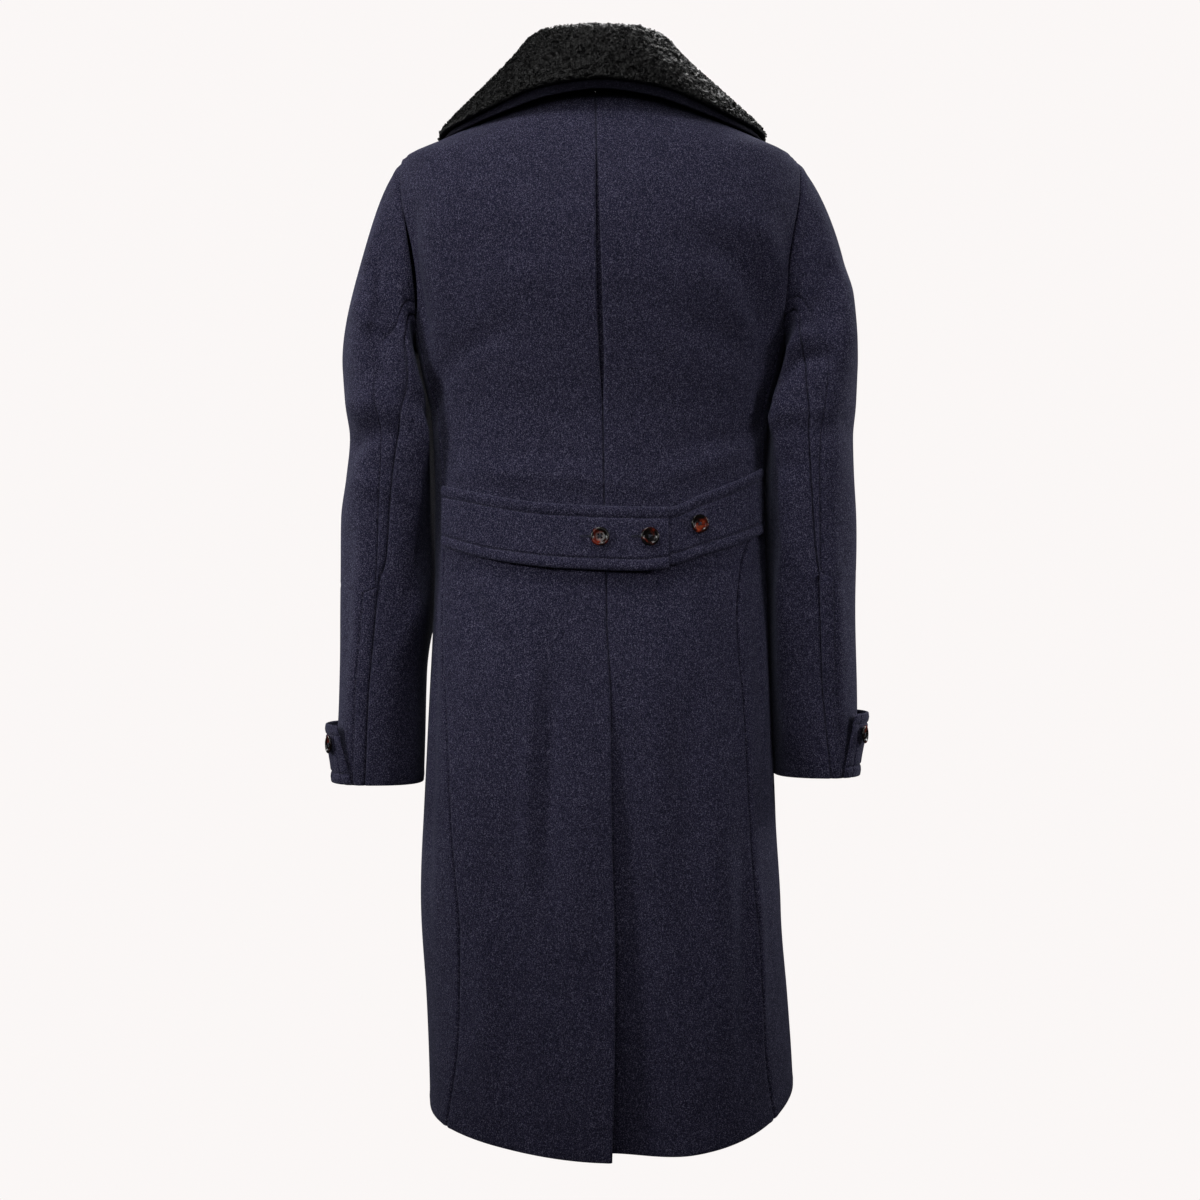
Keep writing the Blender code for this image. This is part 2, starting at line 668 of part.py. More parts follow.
def belt_columns(rows):
    """Columns that fall on those of the back panels, between the ends of a strap."""
    drop = BELT_COLUMN_DROP
    columns = [rows[0].x, rows[-1].x]
    for side in ("left", "right"):
        for i in range(BACK_COLUMNS + 1):
            x = body_surface(drop, back_angle(side, i / BACK_COLUMNS, drop)).x
            if rows[0].x + BELT_COLUMN_CLEAR < x < rows[-1].x - BELT_COLUMN_CLEAR:
                columns.append(x)
    columns.sort()
    return [x for i, x in enumerate(columns) if i == 0 or x - columns[i - 1] > BELT_COLUMN_CLEAR / 2.0]


def lapel_point(side, across, down, lift):
    """A lapel on its front: across 0 at the roll line and 1 at the outer edge, down 0 at the gorge."""
    sign = side_sign(side)
    lowest = LAPEL_LOW[side]
    drop = mix(LAPEL_TOP, lowest, down)
    inner = roll_x(drop) + LAPEL_ROLL_GAP
    if side == "right":
        inner = max(inner, -roll_x(drop) + LAPEL_CLEAR)
    tip_x, tip_drop = LAPEL_TIP
    outer_drop = mix(tip_drop, lowest, down)
    outer = mix(tip_x, -FRONT_EDGE, (outer_drop - tip_drop) / (ROLL_DROP - tip_drop))
    outer = max(outer, inner + LAPEL_LEAST_WIDTH)
    x = mix(inner, outer, across)
    drop = mix(drop, outer_drop, across)
    kink = min(across / LAPEL_KINK, (1.0 - across) / (1.0 - LAPEL_KINK))
    drop -= LAPEL_KINK_LIFT * kink * (1.0 - down)
    lift += front_lift(side, sign * x, drop) + LAPEL_GAP
    return body_point(drop, -angle_at(drop, sign * x), lift)


def cuff_strap_point(side, share, down, lift):
    """A cuff strap: share 0 at its start near the forearm seam and 1 at its slanted end on the back."""
    strap = CUFF_STRAP[side]
    drop = mix(strap.top, strap.bottom, down)
    end = mix(STRAP_END_TOP[side], STRAP_END_LOW[side], down)
    place = mix(STRAP_START, end, share)
    run = 1.0 + (drop - BICEPS) / (CUFF[side] - BICEPS)
    lifted = ease(0.0, STRAP_LIFTED_BY, share) * (1.0 - STRAP_SINK * ease(STRAP_SINKS_FROM, 1.0, share))
    stand_off = strap.stand_off * lifted * (1.0 - ease(0.0, 1.0, down))
    return top_sleeve_point(side, place, run, lift + STRAP_GAP + stand_off)


def spread(count):
    return [i / count for i in range(count + 1)]


def make_material(name):
    colour, roughness = COLOURS[name]
    material = bpy.data.materials.new(name)
    material.use_nodes = True
    shader = material.node_tree.nodes["Principled BSDF"]
    shader.inputs["Base Color"].default_value = colour
    shader.inputs["Roughness"].default_value = roughness
    shader.inputs["Metallic"].default_value = 0.0
    material.diffuse_color = colour
    return material


def add_object(name, mesh, finish):
    mesh.materials.append(make_material(finish))
    thing = bpy.data.objects.new(name, mesh)
    coat.objects.link(thing)
    thing.parent = origin
    return thing


def add_cloth(name, finish, columns, rows, point, thickness, inner_lift=None):
    """A closed sheet: its face at the given points, and its other side one thickness in along the normal."""
    inner_lift = -thickness if inner_lift is None else inner_lift
    build = bmesh.new()
    faces = []
    for lift in (inner_lift + thickness, inner_lift):
        grid = [[build.verts.new(point(c, r, lift)) for r in rows] for c in columns]
        for i in range(len(columns) - 1):
            for j in range(len(rows) - 1):
                faces.append((grid[i][j], grid[i + 1][j], grid[i + 1][j + 1], grid[i][j + 1]))
        rim = [*grid[0]]
        rim += [column[-1] for column in grid[1:]]
        rim += grid[-1][-2::-1]
        rim += [column[0] for column in grid[-2:0:-1]]
        if lift != inner_lift:
            face_rim = rim
    for i in range(len(rim)):
        after = (i + 1) % len(rim)
        faces.append((face_rim[i], face_rim[after], rim[after], rim[i]))
    for corners in faces:
        build.faces.new(corners)
    bmesh.ops.recalc_face_normals(build, faces=build.faces)
    mesh = bpy.data.meshes.new(name)
    build.to_mesh(mesh)
    build.free()
    mesh.shade_smooth()
    mesh.set_sharp_from_angle(angle=math.radians(SHARP_DEG))
    return add_object(name, mesh, finish)


def add_button(name, centre, normal):
    """A dished button, turned from its profile, standing on its thread shank."""
    mesh = bpy.data.meshes.new(name)
    points = [(radius, 0.0, height) for radius, height in BUTTON_PROFILE]
    mesh.from_pydata(points, [(i, i + 1) for i in range(len(points) - 1)], [])
    button = add_object(name, mesh, "button")
    turned = button.modifiers.new("turned", "SCREW")
    turned.steps = BUTTON_SIDES
    turned.render_steps = BUTTON_SIDES
    turned.use_merge_vertices = True
    turned.merge_threshold = 0.00001
    button.location = centre + normal * SEAM_GAP
    button.rotation_mode = "QUATERNION"
    button.rotation_quaternion = Vector((0.0, 0.0, 1.0)).rotation_difference(normal)


def face_normal(point):
    """The normal of a sheet, from its own points and the same points moved out."""
    return (point(0.001) - point(0.0)).normalized()


def make_body():
    rows = panel_drops()
    side_rows = [0, *LOWER_DROPS]
    for side in ("left", "right"):
        add_cloth(
            "back_" + side, "wool", spread(BACK_COLUMNS), rows,
            lambda u, r, lift, side=side: back_point(side, u, r, lift), WOOL,
        )
        add_cloth(
            "front_" + side, "wool", spread(FRONT_COLUMNS), rows,
            lambda u, r, lift, side=side: front_point(side, u, r, lift), WOOL,
        )
        add_cloth(
            "side_" + side, "wool", side_columns(), side_rows,
            lambda u, r, lift, side=side: side_point(side, u, r, lift), WOOL,
        )
        add_cloth(
            "lapel_" + side, "wool", spread(LAPEL_COLUMNS), spread(LAPEL_ROWS),
            lambda u, r, lift, side=side: lapel_point(side, u, r, lift), WOOL, inner_lift=0.0,
        )


def make_pleat():
    """The cloth behind the slit between the shoulders."""
    def point(across, drop, lift):
        x = along(BACK_LINES, "centre", drop) + across
        return body_point(drop, angle_at(drop, x), lift - WOOL - PLEAT_GAP)

    drops = [drop for drop in panel_drops() if PLEAT_TOP < drop < PLEAT_LOW]
    add_cloth("pleat_underlay", "wool", PLEAT_COLUMNS, drops, point, WOOL)


def make_sleeves():
    join = math.degrees(join_turn())
    front_half = [-turn / BACK_TURNS[-1] for turn in reversed(BACK_TURNS[1:])]
    top_columns = front_half + [turn / join for turn in (*BACK_TURNS, join)]
    for side in ("left", "right"):
        add_cloth(
            "sleeve_top_" + side, "wool", top_columns, sleeve_runs(side),
            lambda u, r, lift, side=side: top_sleeve_point(side, u, r, lift), WOOL,
        )
        add_cloth(
            "sleeve_under_" + side, "wool", under_sleeve_columns(), sleeve_runs(side),
            lambda u, r, lift, side=side: under_sleeve_point(side, u, r, lift), WOOL,
        )


def make_collar():
    stations = collar_stations()
    columns = [-1.0 + 2.0 * share for share in spread(COLLAR_COLUMNS)]

    def wool(at, v, lift):
        return collar_point(stations, at, v, lift)

    def fur(at, v, lift):
        depth = mix(FUR_EDGE, FUR, ease(0.0, FUR_THINS_OVER, FUR_END - v)) / FUR
        return collar_point(stations, at, v, WOOL + SEAM_GAP + lift * depth)

    add_cloth("under_collar", "wool", columns, (*COLLAR_ROWS, 0.93, 1.0), wool, WOOL, inner_lift=0.0)
    add_cloth("collar_fur", "fur", columns, (*COLLAR_ROWS, FUR_END), fur, FUR, inner_lift=0.0)


def make_belt():
    for side, rows in (("left", BELT_LEFT), ("right", BELT_RIGHT)):
        add_cloth(
            "half_belt_" + side, "wool", belt_columns(rows), (0.0, 0.5, 1.0),
            lambda x, down, lift, side=side, rows=rows: belt_point(side, rows, x, down, lift),
            BELT_WOOL, inner_lift=0.0,
        )
    for i, (x, drop, side) in enumerate(BELT_BUTTONS):
        def place(lift, x=x, drop=drop, side=side):
            return body_point(drop, angle_at(drop, x), belt_lift(side, x) + BELT_WOOL + lift)

        add_button(f"belt_button_{i + 1}", place(0.0), face_normal(place))


def make_cuffs():
    for side in ("left", "right"):
        add_cloth(
            "cuff_strap_" + side, "wool", spread(STRAP_COLUMNS), STRAP_ROWS,
            lambda u, r, lift, side=side: cuff_strap_point(side, u, r, lift), WOOL, inner_lift=0.0,
        )
        share = (STRAP_BUTTON_AT[side] - STRAP_START) / (STRAP_END_TOP[side] - STRAP_START)

        def place(lift, side=side, share=share):
            return cuff_strap_point(side, share, STRAP_BUTTON_DOWN, WOOL + lift)

        add_button("cuff_button_" + side, place(0.0), face_normal(place))


def make_front_buttons():
    for i, x in enumerate(FRONT_BUTTON_X):
        for j, drop in enumerate(FRONT_BUTTON_DROPS):
            def place(lift, x=x, drop=drop):
                return body_point(drop, -angle_at(drop, x), front_lift("left", x, drop) + lift)

            add_button(f"front_button_{i + 1}_{j + 1}", place(0.0), face_normal(place))


for old in list(bpy.data.objects):
    bpy.data.objects.remove(old, do_unlink=True)
coat = bpy.data.collections.new("military_greatcoat")
bpy.context.scene.collection.children.link(coat)
origin = bpy.data.objects.new("neck_centre", None)
coat.objects.link(origin)
make_body()
make_pleat()
make_sleeves()
make_collar()
make_belt()
make_cuffs()
make_front_buttons()
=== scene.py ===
import math
from functools import partial

import bpy
import numpy as np
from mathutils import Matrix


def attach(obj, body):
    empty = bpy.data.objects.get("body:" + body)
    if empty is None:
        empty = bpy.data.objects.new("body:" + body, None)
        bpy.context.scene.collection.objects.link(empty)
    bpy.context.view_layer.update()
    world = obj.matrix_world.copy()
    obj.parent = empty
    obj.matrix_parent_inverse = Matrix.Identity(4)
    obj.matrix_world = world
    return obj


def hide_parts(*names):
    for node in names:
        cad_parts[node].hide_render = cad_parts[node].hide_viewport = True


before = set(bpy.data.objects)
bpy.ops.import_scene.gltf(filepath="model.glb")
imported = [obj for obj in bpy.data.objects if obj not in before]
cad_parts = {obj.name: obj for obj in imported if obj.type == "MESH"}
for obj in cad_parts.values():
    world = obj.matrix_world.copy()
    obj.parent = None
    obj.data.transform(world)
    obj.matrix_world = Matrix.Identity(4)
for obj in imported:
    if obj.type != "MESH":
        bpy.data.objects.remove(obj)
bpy.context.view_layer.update()  # metres, +Z up, the coat faces -Y and the wearer's left is +X
scene = bpy.context.scene
sides = ("left", "right")
sign = {"left": 1.0, "right": -1.0}


# Reading the cutting tables
def table(names, *rows):  # lengths in millimetres become metres; a star marks degrees and shares, which stay
    return {
        name.strip("*"): np.array(column, float) / (1 if "*" in name else 1000)
        for name, column in zip(names.split(), zip(*rows))
    }


def hermite(start, end, leave, arrive, t):
    square = t * t
    cube = square * t
    return (
        start * (2 * cube - 3 * square + 1)
        + leave * (cube - 2 * square + t)
        + end * (3 * square - 2 * cube)
        + arrive * (cube - square)
    )


def along(rows, column, at):  # a smooth curve through one column that never passes the values it joins
    places = next(iter(rows.values()))
    values = rows[column]
    steps = np.diff(values) / np.diff(places)
    slopes = np.concatenate([steps[:1], np.zeros(len(steps) - 1), steps[-1:]])
    same = steps[:-1] * steps[1:] > 0
    slopes[1:-1][same] = (2 * steps[:-1] * steps[1:])[same] / (steps[:-1] + steps[1:])[same]
    at = np.clip(at, places[0], places[-1])
    i = np.clip(np.searchsorted(places, at, side="right") - 1, 0, len(places) - 2)
    span = places[i + 1] - places[i]
    return hermite(values[i], values[i + 1], slopes[i] * span, slopes[i + 1] * span, (at - places[i]) / span)


def ease(low, high, value):
    t = np.clip((value - low) / (high - low), 0, 1)
    return t * t * (3 - 2 * t)


def mix(a, b, t):
    return a + (b - a) * t


def norm(v):
    return np.linalg.norm(v, axis=-1)


def unit(v):
    return v / np.maximum(norm(v), 1e-12)[..., None]


def bell(offset, width):
    return np.exp(-((offset / width) ** 2))


def onSide(side, angle):  # an angle on the left half of the coat, turned over for the right side
    return angle if side == "left" else math.pi - angle


def joined(x, y, z):
    return np.stack(np.broadcast_arrays(x, y, z), -1)


def ripples(rows, turn, drop, shift=0.0):  # low waves all over the cloth
    return sum(high * np.sin(t * turn + waves * drop + phase + shift) for t, waves, phase, high in rows)


# The cut: everything is given as the drop below the neck seam
cloth = {"wool": 0.0025, "beltWool": 0.0040, "fur": 0.0090, "gap": -0.00005, "squareness": 0.06}
bodyRings = table(
    "drop halfWidth back front drift",
    (0, 78, 66, 60, 0),
    (11, 100, 78, 68, 0),
    (29, 140, 90, 78, 0),
    (47, 180, 100, 86, 0),
    (66, 220, 109, 93, 0),
    (90, 232, 118, 101, 0),
    (120, 236, 127, 109, 0),
    (160, 232, 133, 117, 0),
    (200, 224, 133, 121, 0),
    (240, 214, 128, 124, 0),
    (300, 202.5, 118, 125, 0),
    (360, 190, 108, 123, 0),
    (450, 185.5, 105.5, 120, 0),
    (520, 186, 111, 121, 0),
    (600, 188.5, 119, 124, 0),
    (700, 193, 125, 129, 0),
    (800, 198, 129, 134, 0),
    (900, 203, 132, 138, -2),
    (1000, 202.5, 135, 141, -8),
    (1153, 205.5, 138, 144, -12.5),
)
hem = {"drop": 1.153, "easeFrom": 0.900, "left": (0.033, 1.7), "right": (0.053, 3.0), "kick": 0.0045}
backLines = table(
    "drop centre left right",
    (0, 5, 203.7, -203.7),
    (245, 0, 203.7, -203.7),
    (300, -2, 193.5, -193.5),
    (360, -3.2, 180, -183),
    (410, -4, 175, -180),
    (450, -4.5, 174, -174),
    (490, -5.5, 172.5, -163),
    (520, -6.5, 172, -154),
    (580, -7.5, 172.5, -149.5),
    (670, -11.5, 168, -156),
    (820, -13.3, 160.5, -164),
    (930, -16.3, 153, -171.5),
    (1030, -16, 153.5, -177),
    (1153, -13, 166, -192.5),
)
slit = table(
    "drop halfOpen",
    (76, 0),
    (100, 1.1),
    (150, 2),
    (250, 2.9),
    (310, 2.1),
    (345, 0),
)
vent = table(
    "drop dip reach",
    (600, 0, 40),
    (690, 4, 45),
    (730, 6.8, 50),
    (900, 15, 70),
    (1153, 25, 90),
)
ventEdge = {"top": (0.700, 0.716), "underlap": 0.035}
armhole = {"top": 0.066, "low": 0.268, "spread": math.radians(29), "power": 0.6, "join": math.radians(22)}
sideFront = {"turns": (22.0, 34.0), "drops": (0.245, 0.600)}


tiny = 0.0002  # the step that directions on the body are measured over


def bodySurface(drop, angle):  # the angle is 0 at the left side and 90 degrees at the centre back
    bulge = 1 + cloth["squareness"] * np.sin(2 * angle) ** 2
    depth = np.where(np.sin(angle) >= 0, along(bodyRings, "back", drop), along(bodyRings, "front", drop))
    x = along(bodyRings, "drift", drop) + along(bodyRings, "halfWidth", drop) * np.cos(angle) * bulge
    return joined(x, depth * np.sin(angle) * bulge, -np.asarray(drop, float))


def bodyPoint(drop, angle, lift):
    safe = np.maximum(drop, tiny)
    across = bodySurface(safe, angle + tiny) - bodySurface(safe, angle - tiny)
    fall = bodySurface(safe + tiny, angle) - bodySurface(safe - tiny, angle)
    return bodySurface(drop, angle) + unit(np.cross(fall, across)) * np.asarray(lift)[..., None]


def angleAt(drop, x):  # on the back half; its negative is on the front
    drift = along(bodyRings, "drift", drop)
    reach = along(bodyRings, "halfWidth", drop)
    low, high = np.zeros(np.broadcast(drop, x).shape), np.full(np.broadcast(drop, x).shape, math.pi)
    for _ in range(34):  # halvings, down to a rounding error
        middle = (low + high) / 2
        short = drift + reach * np.cos(middle) * (1 + cloth["squareness"] * np.sin(2 * middle) ** 2) > x
        low, high = np.where(short, middle, low), np.where(short, high, middle)
    return (low + high) / 2


def arcShift(drop, angle, length):
    return length * 2 * tiny / norm(bodySurface(drop, angle + tiny) - bodySurface(drop, angle - tiny))


def hemShare(row):
    return np.maximum(row - hem["easeFrom"], 0) / (hem["drop"] - hem["easeFrom"])


def hemDrop(row, angle):  # the hem rises towards the sides, more on the right
    cosine = np.cos(angle)
    left, right = (hem[side][0] * np.abs(cosine) ** hem[side][1] for side in sides)
    return row - np.where(cosine > 0, left, right) * hemShare(row)


# Creases: troughs and ridges, listed one by one. x and drop give both ends, bow bends the line, high is its
# height.
creaseColumns = "x drop toX toDrop bow wide high"
backCreases = table(
    creaseColumns,
    (-100, 160, -186, 300, 10, 17, -4.2),
    (-150, 135, -202, 262, 6, 13, 2.4),
    (-85, 250, -186, 372, 12, 18, -2.6),
    (202, 120, 186, 290, -6, 11, -3),
    (172, 125, 158, 275, -8, 18, 1.6),
    (186, 372, 80, 255, 10, 15, -2.2),
    (150, 300, 60, 200, 12, 22, 1.2),
    (-186, 352, -85, 388, 8, 13, -1.8),
    (160, 418, -60, 436, 4, 13, 1.8),
    (-60, 430, -150, 398, 2, 12, 1.6),
    (46, 528.5, -56, 533.5, 1.8, 3.8, 3.2),
    (150, 520, 88, 628, -10, 14, -2.4),
    (120, 535, 105, 700, 6, 15, 1.6),
    (71, 640, 74, 890, -3, 9.5, 3.4),
    (52, 600, 56, 900, -2, 11.5, -3.6),
    (20, 690, 26, 960, 3, 16, 1.8),
    (104, 780, 94, 1140, 6, 20, -2.6),
    (128, 900, 120, 1140, 3, 15, 1.8),
    (-62, 600, -58, 860, 4, 20, 1.6),
    (-92, 640, -100, 1020, -4, 18, -2.2),
    (-124, 700, -132, 1120, 5, 16, 1.6),
    (-152, 820, -158, 1080, 2, 10, -2),
    (-170, 840, -176, 1080, 1, 8, 2.2),
    (178, 560, 186, 960, 3, 12, -1.8),
    (-170, 560, -182, 800, 2, 10, -1.4),
)
frontCreases = table(
    creaseColumns,
    (120, 180, 190, 310, -10, 16, -3.4),
    (-126, 170, -188, 330, 10, 17, -3),
    (168, 380, 70, 325, -6, 14, -2.4),
    (-170, 372, -80, 440, 6, 15, -2.2),
    (60, 470, 150, 430, 6, 15, 1.8),
    (-66, 590, -160, 540, 8, 15, 1.6),
    (100, 600, 112, 1120, 6, 20, 3.2),
    (138, 640, 150, 1100, -4, 15, -3.4),
    (-104, 620, -120, 1130, -6, 21, 3),
    (-148, 600, -152, 1090, 3, 14, -3.2),
    (-30, 700, -36, 1130, 3, 20, -2),
    (30, 760, 40, 1140, 2, 24, -1.8),
)
creaseGain = 1.8
creaseFade = {"in": (-0.12, 0.28), "out": (0.66, 1.12)}  # where a crease rises and dies away, in shares of it
ringRadius = 0.17  # turns an angle round the body into a length for the creases
bodyRipples = ((3, 9, 0.4, 0.0005), (5, -14, 2.1, 0.0004), (8, 21, 4.4, 0.00028))


def creaseHeight(creases, starts, ends, place, drop, around):
    total = np.zeros(np.broadcast(place, drop).shape)
    for i in range(len(creases["drop"])):
        aside = (place - starts[i] + around / 2) % around - around / 2
        down = drop - creases["drop"][i]
        runX, runDrop = ends[i] - starts[i], creases["toDrop"][i] - creases["drop"][i]
        length = math.hypot(runX, runDrop)
        t = (aside * runX + down * runDrop) / length**2
        off = (aside * runDrop - down * runX) / length - creases["bow"][i] * 4 * t * (1 - t)
        fade = ease(*creaseFade["in"], t) * (1 - ease(*creaseFade["out"], t))
        total += creases["high"][i] * fade * bell(off, creases["wide"][i])
    return total


def bodyRelief(angle, drop):
    place = angle * ringRadius
    total = 0.0
    for creases, face in ((backCreases, 1.0), (frontCreases, -1.0)):
        starts = face * angleAt(creases["drop"], creases["x"]) * ringRadius
        ends = face * angleAt(creases["toDrop"], creases["toX"]) * ringRadius
        total = total + creaseHeight(creases, starts, ends, place, drop, 2 * math.pi * ringRadius)
    return (total + ripples(bodyRipples, angle, drop)) * creaseGain * ease(0.0, 0.05, drop)


# Armholes and the edges of the panels
def armholeDrop(turn):  # from the shoulder tip (0) to the underarm (pi)
    return mix(armhole["top"], armhole["low"], (1 - np.cos(turn)) / 2)


def armholeAngle(turn):
    spread = armhole["spread"] * np.abs(np.sin(turn)) ** armhole["power"]
    return np.copysign(spread, np.sin(turn))


def armholeTurn(drop):
    share = (drop - armhole["top"]) / (armhole["low"] - armhole["top"])
    return np.arccos(np.clip(1 - 2 * share, -1, 1))


joinTurn = math.pi - math.asin((armhole["join"] / armhole["spread"]) ** (1 / armhole["power"]))
joinDrop = float(armholeDrop(joinTurn))
underarmSettles = 0.07  # how far below the armhole the side body's rows become level


def sideEdge(side, face, drop):
    if face == "front":
        below = np.radians(mix(*sideFront["turns"], ease(*sideFront["drops"], drop)))
    else:
        below = onSide(side, angleAt(drop, along(backLines, side, drop)))
    edge = np.where(drop <= joinDrop, armholeAngle(armholeTurn(drop)), below)
    edge = np.where(drop < armhole["top"], 0.0, edge)
    return onSide(side, -edge if face == "front" else edge)


def ventDip(drop, x):  # the right half of the skirt sinks under the left one at the vent
    past = along(backLines, "centre", drop) - x
    return along(vent, "dip", drop) * (1 - ease(0.0, along(vent, "reach", drop), past))


def backPoint(side, u, row, lift):
    centre = along(backLines, "centre", row) + sign[side] * along(slit, "halfOpen", row)
    if side == "right":
        centre = centre + ventEdge["underlap"] * ease(*ventEdge["top"], row)
    start = angleAt(row, centre)
    start = start - sign[side] * arcShift(row, start, cloth["gap"])
    angle = mix(start, sideEdge(side, "back", row), u)
    drop = hemDrop(row, angle)
    relief = bodyRelief(angle, row)
    if side == "right":
        drop = drop - hem["kick"] * hemShare(row) * (1 - u)
        lift = lift - ventDip(row, bodySurface(drop, angle)[..., 0])
    return bodyPoint(drop, angle, lift + relief)


# Fronts and lapels
front = {
    "edge": 0.075, "rollTop": 0.070, "rollDrop": 0.275, "step": 0.0022, "stepFade": (0.085, 0.120),
    "stepBegins": (0.03, 0.12),
}
lapel = {
    "top": 0.040, "tip": (0.155, 0.132), "low": {"left": 0.267, "right": 0.196}, "kink": 0.60,
    "kinkLift": 0.020, "clear": 0.007, "gap": 0.0013, "rollOver": 0.0022, "rollWide": 0.006, "tuck": 0.0030,
    "tuckWide": 0.0015, "pastRoll": 0.001, "leastWide": 0.006,
}


def rollX(drop):
    return mix(front["rollTop"], -front["edge"], np.minimum(drop / front["rollDrop"], 1.0))


def frontLift(side, x, drop):
    fade = (1 - ease(*front["stepFade"], sign[side] * x)) * ease(*front["stepBegins"], drop)
    return sign[side] * front["step"] * fade


def frontPoint(side, u, row, lift):  # from the side (0) to the roll line or the front edge (1)
    start = sideEdge(side, "front", row) - (0.0 if side == "left" else 2 * math.pi)
    end = -angleAt(row, sign[side] * rollX(row))
    angle = mix(start, end, u)
    drop = hemDrop(row, angle)
    x = bodySurface(drop, angle)[..., 0]
    return bodyPoint(drop, angle, lift + frontLift(side, x, row) + bodyRelief(angle, row))


def lapelPoint(side, across, down, lift):
    lowest = lapel["low"][side]
    drop = mix(lapel["top"], lowest, down)
    inner = rollX(drop) - lapel["pastRoll"]
    if side == "right":
        inner = np.maximum(inner, -rollX(drop) + lapel["clear"])
    tipX, tipDrop = lapel["tip"]
    outerDrop = mix(tipDrop, lowest, down)
    outer = mix(tipX, -front["edge"], (outerDrop - tipDrop) / (front["rollDrop"] - tipDrop))
    outer = np.maximum(outer, inner + lapel["leastWide"])
    x = sign[side] * mix(inner, outer, across)
    fromRoll = across * (outer - inner)
    drop = mix(drop, outerDrop, across)
    kink = np.minimum(across / lapel["kink"], (1 - across) / (1 - lapel["kink"]))
    drop = drop - lapel["kinkLift"] * kink * (1 - down)
    angle = -angleAt(drop, x)
    roll = lapel["rollOver"] * bell(fromRoll - lapel["rollWide"], lapel["rollWide"])
    roll = roll - lapel["tuck"] * np.exp(-fromRoll / lapel["tuckWide"])
    lift = lift + frontLift(side, x, drop) + lapel["gap"] + roll
    return bodyPoint(drop, angle, lift + bodyRelief(angle, drop))


# Side bodies
def sidePoint(side, share, row, lift):  # from the side-front seam (-1) to the side-back seam (1)
    spread = np.abs(share) * armhole["join"] / armhole["spread"]
    turn = math.pi - np.arcsin(spread ** (1 / armhole["power"]))
    settled = ease(joinDrop, joinDrop + underarmSettles, row)
    drop = row + (armholeDrop(turn) - joinDrop) * (1 - settled)
    middle = onSide(side, 0.0)
    edges = {}
    for face in ("back", "front"):
        edge = sideEdge(side, face, np.maximum(row, joinDrop + 1e-6))
        edges[face] = edge - np.sign(edge - middle) * arcShift(drop, edge, cloth["gap"])
    edge = np.where(share >= 0, edges["back"], edges["front"])
    angle = mix(middle, edge, np.abs(share))
    return bodyPoint(hemDrop(drop, angle), angle, lift + bodyRelief(angle, drop))


# Sleeves
arm = table(
    "drop leftIn leftOut rightIn rightOut back front",
    (300, 206.5, 288, 206.5, 290.5, 76, -84),
    (340, 199, 285.8, 199, 288.5, 77, -82),
    (377, 193, 281, 193, 285, 76, -80),
    (420, 190.5, 285, 190.5, 285.5, 73, -78),
    (467, 190.5, 291.2, 190.5, 287, 69, -77),
    (540, 192.5, 293, 192.5, 288.2, 63, -77),
    (600, 194.5, 293.8, 194, 289.5, 58, -76),
    (670, 197.5, 296.5, 197, 290.5, 52, -75),
    (763, 200, 299, 199, 291.5, 47, -72),
)
sleeve = {
    "biceps": 0.300, "cuff": {"left": 0.763, "right": 0.755}, "squareness": 0.04, "clear": 0.0034,
    "pressPower": 0.6, "pressed": {"left": (0.560, 0.640), "right": (0.700, 0.763)},
    "armholeMiddle": 0.235, "fullness": {"left": 0.92, "right": 1.10}, "arrive": (0.05, 0.20),
    "deepest": 0.95, "step": 0.002,
    "ripples": ((1, 15, 1.0, 0.0004), (2, -24, 0.3, 0.0004), (3, 38, 2.0, 0.00025)),
}
sleeveHead = table(
    "turn* lean* reach",
    (0, 8, 135),
    (45, 26, 115),
    (90, 46, 100),
    (125, 72, 60),
    (150, 115, 30),
    (180, 168, 16),
)
elbowSeam = table(
    "run* left* right* front*",
    (0, 140.875, 140.875, 120),
    (0.3, 132, 127, 119),
    (0.6, 122.5, 113.5, 118),
    (0.8, 112.5, 104.5, 117),
    (1, 107.5, 97.5, 116),
    (1.12, 95.2, 92.3, 114),
    (1.25, 91.8, 91, 112),
    (1.45, 91.2, 90.2, 110),
    (1.6, 85.8, 88.9, 109),
    (1.75, 81.2, 88, 108),
    (2, 77.3, 77, 106),
)
sleeveCreaseColumns = "turn* drop toTurn* toDrop bow wide high"
